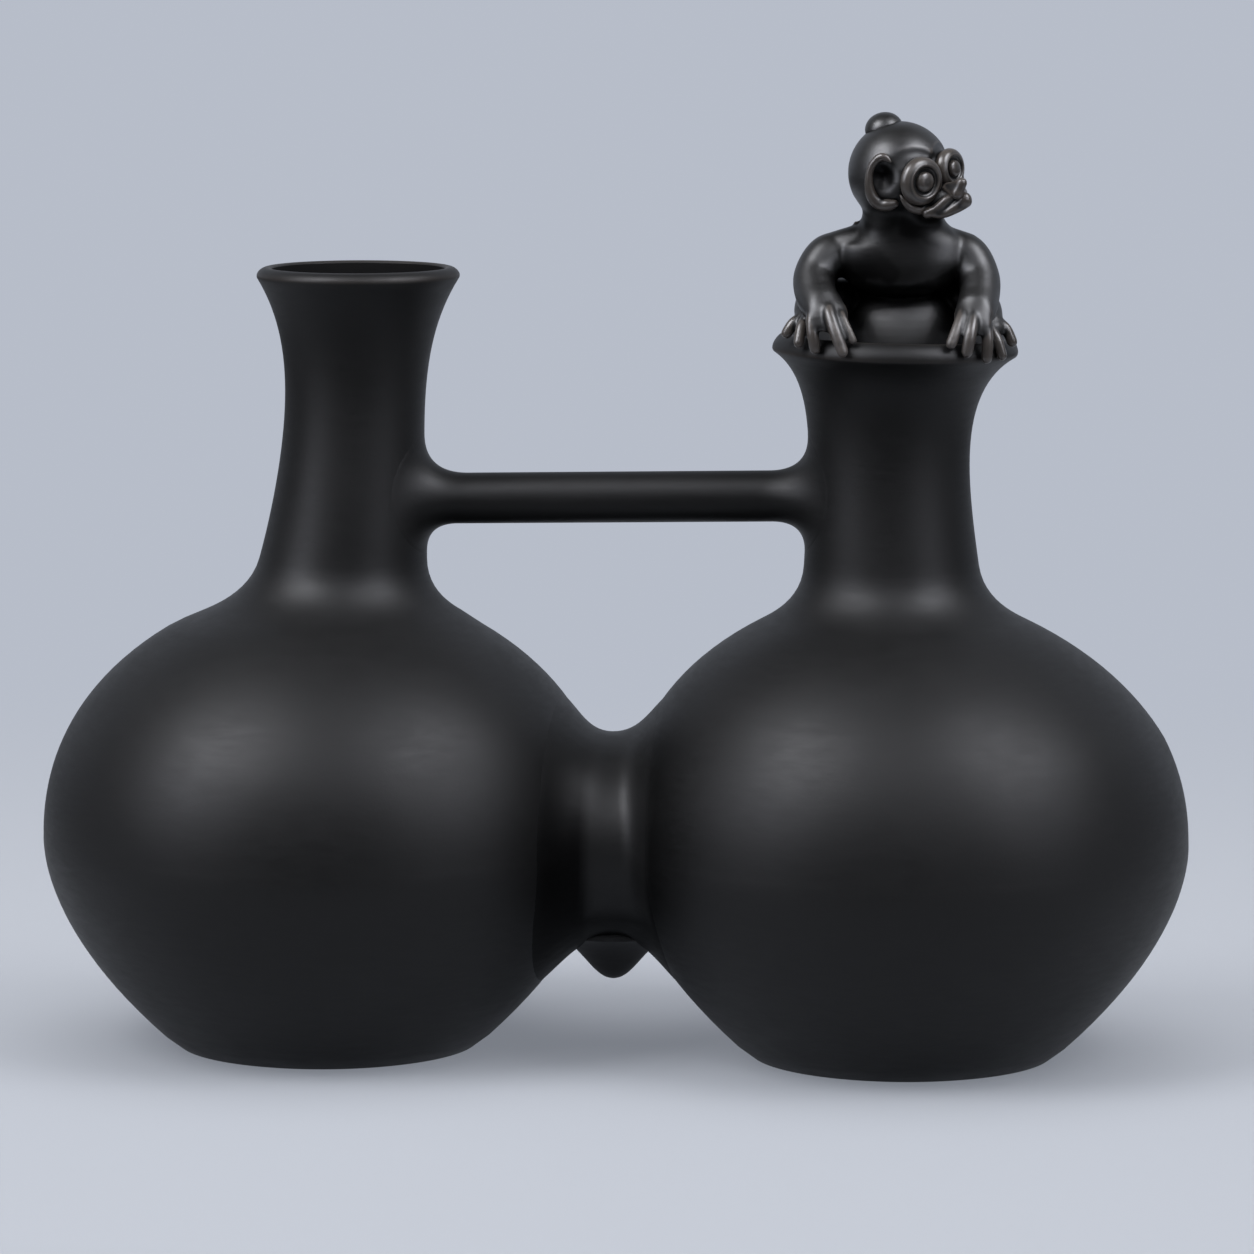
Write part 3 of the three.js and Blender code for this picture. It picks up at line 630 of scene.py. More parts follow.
class Bottle:
    """One half of the vessel: its outline and the lean of its axis"""

    WALL_STEPS, COLLAR_STEPS, NECK_STEPS, ROLL_STEPS = 28, 12, 30, 12
    FOOT_RISE = 0.0002
    FLOOR_EDGE = 0.8

    def __init__(self, side):
        self.side = side
        self.sizes = settings().vessel
        self.neck = settings().spout if side == LEFT else settings().figure_neck
        self.x = side * AXIS_OFFSET
        self.outer = self.outside()
        self.heights = np.array([p.y for p in self.outer])
        self.radii = np.array([p.x for p in self.outer])

    def outside(self):
        s, n = self.sizes, self.neck
        belly = (s.belly_radius, s.belly_height)
        lower = curve(
            (s.foot_radius, 0), (s.foot_radius + s.foot_out, s.foot_up),
            (s.belly_radius, s.belly_height - s.below), belly, self.WALL_STEPS,
        )
        crown = (s.crown_radius + s.crown_out, s.crown_height - s.crown_down)
        upper = split(
            (belly, (s.belly_radius, s.belly_height + s.above), crown, (s.crown_radius, s.crown_height)),
            s.shoulder_share,
        )
        shoulder = upper[3]
        along = (upper[3] - upper[2]).normalized()
        root = Vector((n.root_radius, s.root_height))
        rise = Vector((-n.rise_in, n.rise_up))
        towards = root - rise.normalized() * s.root_pull
        collar = curve(shoulder, shoulder + along * s.shoulder_pull, towards, root, self.COLLAR_STEPS)
        lip = Vector((n.lip_radius, n.lip_height))
        neck = curve(root, root + rise, lip - Vector((n.flare_in, n.flare_down)), lip, self.NECK_STEPS)
        return lower + curve(*upper, self.WALL_STEPS)[1:] + collar[1:] + neck[1:]

    def outline(self):
        """Closed wall: foot, outside, rolled lip and inside"""
        s, n = self.sizes, self.neck
        along = [(b - a).normalized() for a, b in zip(self.outer[:-1], self.outer[1:])]
        along.append(along[-1])
        shoulder = (s.crown_height - s.crown_down, s.root_height)
        flare = (n.lip_height - n.flare_down / 2, n.lip_height)
        inner = []
        for point, way in zip(self.outer, along):
            grown = np.interp(point.y, shoulder, (s.chamber_wall, s.neck_wall))
            wall = np.interp(point.y, flare, (grown, n.lip_wall))
            inner.append(point - Vector((way.y, -way.x)) * float(wall))
        inner = [p for p in inner if p.y > s.chamber_wall]
        middle = (self.outer[-1] + inner[-1]) / 2
        half = self.outer[-1] - middle
        roll = [
            middle + half * math.cos(turn) + along[-1] * (n.lip_roll * math.sin(turn))
            for turn in (math.pi * k / self.ROLL_STEPS for k in range(1, self.ROLL_STEPS))
        ]
        foot = [
            Vector((0, 0)),
            Vector((s.foot_radius - s.foot_edge, 0)),
            Vector((s.foot_radius - s.foot_edge / 4, self.FOOT_RISE)),
        ]
        wall_up = [p for p in self.outer if p.y > s.foot_edge / 2]
        floor = [Vector((inner[0].x * self.FLOOR_EDGE, s.chamber_wall)), Vector((0, s.chamber_wall))]
        return foot + wall_up + roll + inner[::-1] + floor

    def lean(self, height):
        n = self.neck
        if height <= n.lean_from:
            return 0.0
        start, pull = Vector((0, n.lean_from)), Vector((n.pull_x, n.pull_z))
        end = Vector((n.lean, n.lip_height))
        low, high = 0.0, 1.0
        for _ in range(HALVINGS):
            t = (low + high) / 2
            point = start.lerp(pull, t).lerp(pull.lerp(end, t), t)
            low, high = (t, high) if point.y < height else (low, t)
        past = max(height - n.lip_height, 0)
        return point.x + past * (end.x - pull.x) / (end.y - pull.y)

    def radius(self, height):
        return float(np.interp(height, self.heights, self.radii))

    def face(self, y, z):
        """Place on the inner side of this half, towards the other one, at a depth and a height"""
        radius = self.radius(z)
        return self.x + self.lean(z) - self.side * math.sqrt(max(radius * radius - y * y, 0))

    def stand(self, bm):
        """Leans the turned clay and dips its mouth"""
        s, n = self.sizes, self.neck
        slope = math.tan(n.dip)
        for vert in bm.verts:
            x, y, z = vert.co
            dip = slope * x * eased(held(z, s.root_height, n.lip_height))
            vert.co = (self.x + self.lean(z) + x, y, z - dip)


def tube_through(radius, half, height):
    """Closed cylinder along X through the middle of the vessel"""
    sides = 48
    bm = bmesh.new()
    place = Matrix.Translation((0, 0, height)) @ Matrix.Rotation(math.pi / 2, 4, "Y")
    bmesh.ops.create_cone(
        bm, cap_ends=True, segments=sides, radius1=radius, radius2=radius, depth=2 * half, matrix=place
    )
    return bm


class BOTTLE_OT_bottles(bpy.types.Operator):
    """Turns the two bottles, each from foot to lip with its inner wall"""

    bl_idname = "whistling_bottle.bottles"
    bl_label = "Bottles"

    # The painted shade inside reaches this far above the lip's outer edge, and the bore this many walls deep
    SHADED_ABOVE = 0.0012
    BORE_DEPTH = 3

    def execute(self, context):
        sizes, link = settings().vessel, settings().link
        for side, name in ((LEFT, "left"), (RIGHT, "right")):
            bottle = Bottle(side)
            bm = turned(bottle.outline(), sizes.turn_steps)
            bottle.stand(bm)
            deep = self.BORE_DEPTH * sizes.chamber_wall
            bm = cut_out(bm, tube_through(link.tube_bore, deep, sizes.belly_height))
            nodes = [f"{name}_{part}" for part in ("chamber_bowl", "chamber_shoulder", "neck", "lip")]
            piece = vessel_piece(f"{name}_bottle", bm, *nodes)
            # The inner wall below the lip gets the second material, with painted shade
            piece.data.materials.append(inside_shaded_clay())
            for polygon in piece.data.polygons:
                spot = polygon.center
                out = Vector((spot.x - bottle.x - bottle.lean(spot.z), spot.y, 0))
                below = spot.z < bottle.neck.lip_height + self.SHADED_ABOVE
                polygon.material_index = int(below and polygon.normal.dot(out) < 0)
        return {"FINISHED"}


def sleeve(rows, sides):
    """Open sleeve of quads: a circle extruded along Z, one row of edges at each whole height"""
    bm = bmesh.new()
    bmesh.ops.create_circle(bm, segments=sides, radius=1)
    edges = list(bm.edges)
    for _ in range(rows - 1):
        grown = bmesh.ops.extrude_edge_only(bm, edges=edges)["geom"]
        edges = [e for e in grown if isinstance(e, bmesh.types.BMEdge)]
        edges = [e for e in edges if all(v.is_boundary for v in e.verts)]
        ring = {v for e in edges for v in e.verts}
        bmesh.ops.translate(bm, verts=list(ring), vec=(0, 0, 1))
    return bm


def draped(rows, sides, line):
    """Sleeve whose rows lie on the points of a line, which is given for each angle round it"""
    bm = sleeve(rows, sides)
    lines = {}
    for vert in bm.verts:
        turn = math.atan2(vert.co.y, vert.co.x)
        key = round(turn, 4)
        if key not in lines:
            lines[key] = line(turn)
        vert.co = lines[key][round(vert.co.z)]
    return bm


def bent(start, aim, end, t):
    """Quadratic curve"""
    return start.lerp(aim, t).lerp(aim.lerp(end, t), t)


class BOTTLE_OT_bridge(bpy.types.Operator):
    """Draws the bridge handle between the necks, with trumpet ends that run out on their walls"""

    bl_idname = "whistling_bottle.bridge"
    bl_label = "Bridge handle"

    CAP_ROWS, FILLET_ROWS, BAR_ROWS, SIDES = 4, 18, 10, 72
    # How deep the hidden end lies in the neck, and how far its rim is tucked under
    SUNK = 0.0004
    TUCK = 0.001
    # Step that reads the slope of the neck, where the bar meets it as a share of the axes' distance, and
    # how far the fillet runs along the bar
    PROBE = 0.0002
    MEETS = 0.7
    RUN = 1.1

    def profile(self, bottle, turn):
        """Points from the neck to the bar at an angle round the bar"""
        link = settings().link
        out, up = math.cos(turn), math.sin(turn)
        middle = link.bar_height + bottle.side * AXIS_OFFSET * math.tan(link.bar_slope) * self.MEETS
        fillet = link.bar_fillet
        if up <= 0:
            fillet += (link.bar_fillet_low - link.bar_fillet) * up * up

        def on_neck(reach):
            z = middle + reach * up
            radius = bottle.radius(z)
            around = reach * out / radius
            axis = bottle.x + bottle.lean(z)
            return Vector((axis - bottle.side * radius * math.cos(around), radius * math.sin(around), z))

        reach = link.bar_radius + fillet
        start = on_neck(reach)
        inwards = (on_neck(reach - self.PROBE) - start).normalized()
        low, high = 0.0, 2 * reach
        for _ in range(HALVINGS):
            step = (low + high) / 2
            aim = start + inwards * step
            beside = math.hypot(aim.y, aim.z - middle)
            low, high = (step, high) if beside > link.bar_radius else (low, step)
        end = aim - Vector((bottle.side * fillet * self.RUN, 0, 0))
        sunk = Vector((bottle.side * self.SUNK, 0, 0))
        cap = [on_neck(reach * k / self.CAP_ROWS) + sunk for k in range(self.CAP_ROWS)]
        rim = [start - inwards * self.TUCK + sunk]
        last = self.FILLET_ROWS - 1
        return cap + rim + [bent(start, aim, end, k / last) for k in range(self.FILLET_ROWS)]

    def execute(self, context):
        halves = [Bottle(LEFT), Bottle(RIGHT)]

        def line(turn):
            left, right = (self.profile(half, turn) for half in halves)
            shares = [k / (self.BAR_ROWS + 1) for k in range(1, self.BAR_ROWS + 1)]
            return left + [left[-1].lerp(right[-1], part) for part in shares] + right[::-1]

        bm = draped(2 * (self.CAP_ROWS + 1 + self.FILLET_ROWS) + self.BAR_ROWS, self.SIDES, line)
        bmesh.ops.remove_doubles(bm, verts=bm.verts, dist=MERGE)
        bmesh.ops.recalc_face_normals(bm, faces=bm.faces)
        vessel_piece("bridge_bar", bm, "bridge_handle")
        return {"FINISHED"}


class BOTTLE_OT_tube(bpy.types.Operator):
    """Fills the wedge between the bellies with a waisted collar and hangs the pinched nub below it"""

    bl_idname = "whistling_bottle.tube"
    bl_label = "Connecting tube"

    ROWS, SIDES = 14, 144
    # How deep the hidden end lies in the chamber, how far its rim is tucked under, and the step that reads
    # the slope of the chamber
    SUNK = 0.0006
    TUCK = 0.002
    PROBE = 0.0003
    # Turn of the fillet towards the waist in front and what is added above and below, and its two pulls
    AIM, AIM_ABOVE = 0.18, 0.27
    PULL, WAIST_PULL = 0.5, 0.45
    # Painted shade in the grooves beside the waist, from none to full, the reach at which it fades, and the
    # painted shade on the underside and on each piece
    GROOVES = ((-0.001, -0.0042), (0.0084, 0.0106))
    GROOVE_REACH = (0.042, 0.028)
    GROOVE_SHORT = 0.01
    UNDERSIDE = (0.0095, 0.0145)
    UNDERSIDE_SHADE = 0.8
    SHADE_ON_PIECE = {"waisted_collar": 1, "left_bottle": 0.45, "right_bottle": 0.8}
    # Nub: its hidden height, and the pulls of its bell curve in its radius and its drop
    NUB_STEPS, NUB_SIDES = 30, 64
    NUB_SUNK = 0.004
    NUB_TIP, NUB_FLANK, NUB_RISE, NUB_FLARE = 0.42, 0.58, 0.7, 1.25

    def half(self, bottle, turn):
        """Points from a chamber to the waist at an angle round the tube, 0 in front"""
        link, sizes = settings().link, settings().vessel
        forth, up = math.cos(turn), math.sin(turn)
        rise = link.tube_above if up > 0 else link.tube_below
        front = link.tube_depth + link.tube_front
        reach = link.tube_radius + front * forth * forth + rise * up * up
        reach -= bottle.side * link.tube_skew * forth * abs(forth)

        def on_chamber(out):
            y, z = -out * forth, sizes.belly_height + out * up
            return Vector((bottle.face(y, z), y, z))

        start = on_chamber(reach)
        inwards = (on_chamber(reach - self.PROBE) - start).normalized()
        deep = link.tube_radius + link.tube_depth
        waist = Vector((link.tube_shift * forth, -deep * forth, sizes.belly_height + link.tube_radius * up))
        gap = abs(start.x - waist.x)
        way = inwards.lerp((waist - start).normalized(), self.AIM + self.AIM_ABOVE * up * up)
        aim = start + way * (gap * self.PULL)
        level = waist + Vector((bottle.side * gap * self.WAIST_PULL, 0, 0))
        sunk = Vector((bottle.side * self.SUNK, 0, 0))
        bore = on_chamber(link.tube_bore) + sunk
        ring = [bore, start - inwards * self.TUCK + sunk]
        return ring + [Vector(p) for p in interpolate_bezier(start, aim, level, waist, self.ROWS)]

    def paint_groove_shade(self, piece):
        """Keeps as painted shade the darkening in the grooves beside the waist and on the underside"""
        height = settings().vessel.belly_height
        groove_shade = []
        for vert in piece.data.vertices:
            x, y, z = vert.co
            out = max(math.hypot(y, z - height), MERGE)
            beside = x if y < 0 else -x
            groove = max(held(beside, *edges) for edges in self.GROOVES)
            under = min(held(height - z, *self.UNDERSIDE), self.UNDERSIDE_SHADE)
            fade = held(max(out, abs(x) + self.GROOVE_SHORT), *self.GROOVE_REACH)
            facing = (y / out) ** 2 if z > height else 1
            groove_shade.append(self.SHADE_ON_PIECE[piece.name] * eased(max(groove, under)) * eased(fade) * facing)
        keep(piece.data, "painted_shade", groove_shade)

    def execute(self, context):
        link, sizes = settings().link, settings().vessel
        halves = [Bottle(LEFT), Bottle(RIGHT)]

        def line(turn):
            left, right = (self.half(half, turn) for half in halves)
            return left + right[-2::-1]

        bm = draped(2 * self.ROWS + 3, self.SIDES, line)
        bmesh.ops.bridge_loops(bm, edges=[edge for edge in bm.edges if edge.is_boundary])
        bmesh.ops.recalc_face_normals(bm, faces=bm.faces)
        vessel_piece("waisted_collar", bm, "connecting_tube")
        # Paints shade on the collar and on both bottles
        for name in self.SHADE_ON_PIECE:
            self.paint_groove_shade(bpy.data.objects[name])

        radius, drop = link.nub_radius, link.nub_drop
        under = sizes.belly_height - link.tube_radius
        tip = under - drop
        flank = curve(
            (0, tip), (radius * self.NUB_TIP, tip), (radius * self.NUB_FLANK, tip + drop * self.NUB_RISE),
            (radius * self.NUB_FLARE, under + self.NUB_SUNK / 4), self.NUB_STEPS,
        )
        top = under + self.NUB_SUNK
        vessel_piece("pinched_nub", turned(flank + [(radius, top), (0, top)], self.NUB_SIDES), "tube_nub")
        return {"FINISHED"}


# Figure, in millimetres in its own frame, and its head in the head's frame


def figure_frame():
    sizes, neck = settings().figure, settings().figure_neck
    place = Matrix.Translation((AXIS_OFFSET + neck.lean, 0, neck.lip_height + sizes.lift))
    return place @ Matrix.Rotation(sizes.turn, 4, "Z") @ Matrix.Scale(MM, 4)


HEAD_AT = (0.55, -7.0, 34.4)
EYE_AT = (4.1, -9.8, 0.3)
FAR_EYE_DROP = 0.7


def head_frame():
    sizes = settings().figure
    turn = Matrix.Rotation(sizes.head_turn, 4, "Z") @ Matrix.Rotation(sizes.head_roll, 4, "Y")
    return figure_frame() @ Matrix.Translation(HEAD_AT) @ turn


def eye_frame(side):
    """Eye frame on the head: its Z looks out of the eye"""
    sizes = settings().figure
    x, y, z = EYE_AT
    place = Matrix.Translation((side * x, y, z - (FAR_EYE_DROP if side == RIGHT else 0)))
    return place @ Matrix.Rotation(side * sizes.eye_splay, 4, "Z") @ Matrix.Rotation(math.pi / 2, 4, "X")


def lump(bm, centre, radii, sides=32):
    """Pressed lump: a ball of three radii"""
    place = Matrix.Translation(centre) @ Matrix.Diagonal((*radii, 1))
    bmesh.ops.create_uvsphere(bm, u_segments=sides, v_segments=sides // 2, radius=1, matrix=place)


def clay_roll(bm, stations, across, sides=20, steps=6, cap=5, blunt=1.0):
    """Rolled clay along stations of (x, y, z, half width, half depth), with its ends rounded by blunt"""
    path = smooth_path(stations, steps)
    rows = len(path) - 1 + 2 * cap
    made = bmesh.ops.create_uvsphere(bm, u_segments=sides, v_segments=rows, radius=1)
    across = Vector(across)
    for vert in made["verts"]:
        row = round(math.acos(min(max(vert.co.z, -1), 1)) / math.pi * rows)
        turn = math.atan2(vert.co.y, vert.co.x)
        k = min(max(row - cap, 0), len(path) - 1)
        bow = math.pi / 2 * min(row, rows - row, cap) / cap
        scale, slide = math.sin(bow), math.copysign(math.cos(bow), 2 * row - rows)
        along = (path[min(k + 1, len(path) - 1)] - path[max(k - 1, 0)]).to_3d().normalized()
        side = (across - along * across.dot(along)).normalized()
        x, y, z, wide, deep = path[k]
        vert.co = (
            Vector((x, y, z))
            + side * (math.cos(turn) * wide * scale)
            + along.cross(side) * (math.sin(turn) * deep * scale)
            + along * (slide * min(wide, deep) * blunt)
        )


ACROSS_X, ACROSS_Y, ACROSS_Z = (1, 0, 0), (0, 1, 0), (0, 0, 1)

# Torso: a hunched back, a chest that overhangs the belly and runs up into a thick neck
BACK = (
    (0, 2.5, -9, 8, 7), (0, 2.8, 0, 9, 7.2), (0, 2.0, 8, 8.8, 6.6), (0, -1.0, 15, 9, 6.2),
    (0.3, -4.6, 20.5, 8.4, 5.8),
)
TRUNK = (
    (1.1, -5.5, 15.0, 10.8, 7.4), (1.1, -5.8, 18.0, 12.8, 7.4), (1.3, -6.0, 21.2, 12.2, 6.9),
    (1.2, -6.4, 24.2, 8.6, 6.6), (1.0, -6.9, 27.6, 7.3, 6.6), (0.8, -7, 31, 6.8, 6.6),
)
BELLY = ((2.0, -1.6, 2.4), (12.0, 9.4, 10.8))
YOKE = (
    (-12.4, -5.2, 18.9, 3.7, 3.9), (-5.6, -5.5, 20.4, 4.4, 4.4), (0.8, -5.8, 20.8, 4.8, 4.6),
    (7, -5.5, 20.4, 4.4, 4.4), (13, -5.2, 19.1, 3.7, 3.9),
)
LUTING_PELLET = ((-7.4, -4.6, 24.8), (0.7, 0.7, 0.6))

# Arms: shoulder, elbow, forearm and wrist, then the fingers
ARMS = {
    LEFT: (
        (-8.5, -5, 18.4, 4.2, 4.2), (-12.6, -5.4, 18.4, 4.3, 4.4), (-15.3, -7.8, 14.8, 4.05, 4.1),
        (-15.1, -11.6, 11.6, 3.95, 3.9), (-13.9, -15.2, 9.8, 3.9, 3.3), (-13.0, -17.4, 8.7, 3.8, 2.1),
        (-12.6, -18.8, 7.2, 3.6, 1.2), (-12.8, -19.2, 5.9, 3.2, 0.9),
    ),
    RIGHT: (
        (8.5, -5, 18.4, 4.2, 4.2), (13.0, -5.4, 18.6, 4.3, 4.4), (15.6, -7.8, 14.6, 4.0, 4.1),
        (15.6, -11.6, 11.0, 3.85, 3.9), (14.9, -15.0, 9.0, 3.8, 3.3), (14.4, -16.8, 8.0, 3.7, 2.1),
        (14.2, -18.2, 6.6, 3.5, 1.2), (14.2, -18.6, 5.3, 3.1, 0.9),
    ),
}
FINGERS = {
    LEFT: (
        ((-14.9, -15.6, 9.9, 1.1), (-15.9, -17.8, 8.2, 1.2), (-15.8, -19.0, 5.0, 1.2),
         (-15.3, -18.9, 2.1, 1.15)),
        ((-12.9, -17.0, 10.1, 1.2), (-12.7, -19.2, 8.6, 1.35), (-11.5, -21.3, 5.2, 1.3),
         (-10.2, -22.1, 1.7, 1.15)),
        ((-10.9, -17.6, 9.2, 0.9), (-10.3, -19.4, 8.0, 0.9), (-9.2, -20.8, 5.8, 0.85),
         (-8.3, -21.2, 3.8, 0.85)),
    ),
    RIGHT: (
        ((12.6, -16.4, 9.2, 1.1), (11.8, -18.8, 7.4, 1.1), (10.9, -20.6, 5.2, 1.1),
         (10.1, -21.3, 3.2, 1.1)),
        ((14.4, -16.4, 9.2, 1.2), (14.2, -18.8, 7.2, 1.3), (13.6, -20.6, 4.6, 1.3),
         (13.1, -20.7, 1.6, 1.15)),
        ((16.2, -15.0, 8.8, 1.1), (16.8, -17.0, 7.0, 1.15), (17.0, -18.3, 3.8, 1.15),
         (16.9, -18.1, 0.2, 1.1)),
    ),
}

# Legs: folded beside the belly, with the feet on the lip, then the toes
LEGS = {
    LEFT: (
        (-5, 3, 3, 4.6, 4.6), (-9.8, -0.4, 9.9, 4.0, 4.0), (-15.1, -6.4, 9.7, 3.6, 3.6),
        (-16.2, -10, 7.0, 3.0, 2.9), (-16.6, -12, 5.8, 2.6, 2.0),
    ),
    RIGHT: (
        (5, 3, 3, 4.6, 4.6), (10.9, -0.4, 10.7, 4.1, 4.2), (16, -6, 9.3, 3.5, 3.5),
        (17.3, -9.4, 6.6, 3.0, 2.9), (17.8, -11.4, 5.2, 2.6, 2.0),
    ),
}
TOES = {
    LEFT: (
        ((-16.4, -11.8, 7.4, 1.2), (-17.8, -14.6, 6.0, 1.1), (-18.4, -16.2, 2.9, 1.1)),
        ((-16.8, -10.2, 7.4, 1.2), (-19.2, -11.6, 6.4, 1.15), (-20.6, -12.0, 4.4, 1.15)),
    ),
    RIGHT: (
        ((17.4, -12.2, 5.8, 1.2), (19.0, -14.0, 3.4, 1.05), (19.9, -14.2, 0.4, 1.05)),
        ((18.2, -9.8, 6.8, 1.2), (20.6, -10.6, 5.4, 1.1), (21.9, -10.8, 2.7, 1.1)),
    ),
}


def digit_roll(bm, places):
    """Finger or toe: a thin round roll, as (x, y, z, radius)"""
    clay_roll(bm, [(*place[:3], place[3], place[3]) for place in places], ACROSS_X, sides=14)


# Head: the muzzle, a roll round the lower edge of each eye ring as (degrees, reach, height, radius) in the
# eye's frame, the bed of each ring, the topknot, and what is pressed into the skull
MUZZLE = (
    (0, -1, -3.6, 7, 6), (0, -5, -4.4, 6.4, 5.4), (0, -9, -5.0, 4.8, 3.9), (0, -12, -4.7, 2.6, 2.5),
    (0, -14.5, -3.7, 1.2, 1.5),
)
CHEEK = (
    (14, 4.6, -1.8, 0.3), (26, 4.9, -1.3, 0.55), (42, 5.2, -1.0, 0.75), (58, 5.4, -0.9, 0.85),
    (74, 5.5, -0.85, 0.88), (88, 5.5, -0.9, 0.85),
)
EYE_BED = ((0.9, -0.2, -3.8), (3.6, 4.2, 2.7))
TOPKNOT = ((1.35, 2.6, 8.3), (3.6, 3.6, 3.0))
SOCKET = {"reach": 5.6, "rim": 0.9, "depth": 0.7, "towards_nose": 0.2, "brow": (0.5, 3.5), "behind": -6}
EAR_BOWL = {
    "at": (8.35, -4.3, 2.0), "half_width": 2.9, "half_height": 3.9, "depth": 2.3, "deepest": (-0.36, 0.3),
    "behind": -4, "passes": 20,
}
HEAD_REACH = 13.5
THROAT = {"low": 25, "high": 30, "front": -14, "passes": 40}

# Ovals on the front: painted shade on the chest and neck under the chin, and the stick-smoothed belly
CHIN_SHADE = {"at": (-0.8, 20), "half_width": 13, "half_height": 13.5, "soft": 0.6, "before": -4}
TOOLED = {"at": (1, 3), "half_width": 14, "half_height": 10, "soft": 0.3, "before": 0}

# Chest, smoothed but for the pellet, in passes of (half width, lowest height, times)
CHEST = {"low": 11, "high": 26, "middle": 1, "pellet": 1.7}
CHEST_PASSES = ((13.5, 16, 4), (11, 11, 6), (9, 11, 8), (6.5, 11, 10))


def press_sockets(verts):
    """Presses a crescent above each eye, under a soft brow"""
    for side in (LEFT, RIGHT):
        place = eye_frame(side)
        seen = place.inverted()
        size = EYE_SIZE[side]
        for vert in verts:
            x, y, z = seen @ vert.co
            reach = math.hypot(x + side * SOCKET["towards_nose"] * size, y) / size
            inside = SOCKET["reach"] + SOCKET["rim"] - reach
            if z < SOCKET["behind"] or inside < 0:
                continue
            pressed = eased(held(inside, 0, 2 * SOCKET["rim"])) * held(y / size, *SOCKET["brow"])
            vert.co = place @ Vector((x, y, z - size * SOCKET["depth"] * pressed))


def press_ear_bowls(verts, shade_layer):
    """Presses the bowl of each ear, deepest under the roll behind it and rising slowly to the face, and marks
    painted shade in the bowl
    """
    deep = Vector(EAR_BOWL["deepest"])
    pressed = []
    for side in (LEFT, RIGHT):
        x, y, z = EAR_BOWL["at"]
        shift = EAR_SHIFT[side]
        middle = Vector((side * x, y + shift[0], z + shift[1]))
        out = middle.normalized()
        rise = (Vector(ACROSS_Z) - out * out.z).normalized()
        forth = Vector((0, -1, 0)) + out * out.y
        forth = (forth - rise * forth.dot(rise)).normalized()
        for vert in verts:
            away = vert.co - middle
            across, upwards = away.dot(forth), away.dot(rise)
            spot = Vector((across / EAR_BOWL["half_width"], upwards / EAR_BOWL["half_height"]))
            if spot.length >= 1 or away.dot(out) < EAR_BOWL["behind"]:
                continue
            ray = spot - deep
            square = max(ray.length_squared, 1e-9)
            cross = deep.dot(ray)
            rim = (math.sqrt(cross * cross + square * (1 - deep.length_squared)) - cross) / square
            part = eased(1 - 1 / rim)
            vert.co -= out * (EAR_BOWL["depth"] * part)
            # Painted shade in the ear bowl, full from halfway in
            vert[shade_layer] = min(2 * part, 1)
            pressed.append(vert)
    return pressed


def oval(vert, patch):
    """How far inside an oval patch of the front a point lies, 0 at its edge and beyond it"""
    x, z = patch["at"]
    away = math.hypot((vert.co.x - x) / patch["half_width"], (vert.co.z - z) / patch["half_height"])
    return held(1 - away, 0, patch["soft"]) if vert.co.y < patch["before"] else 0


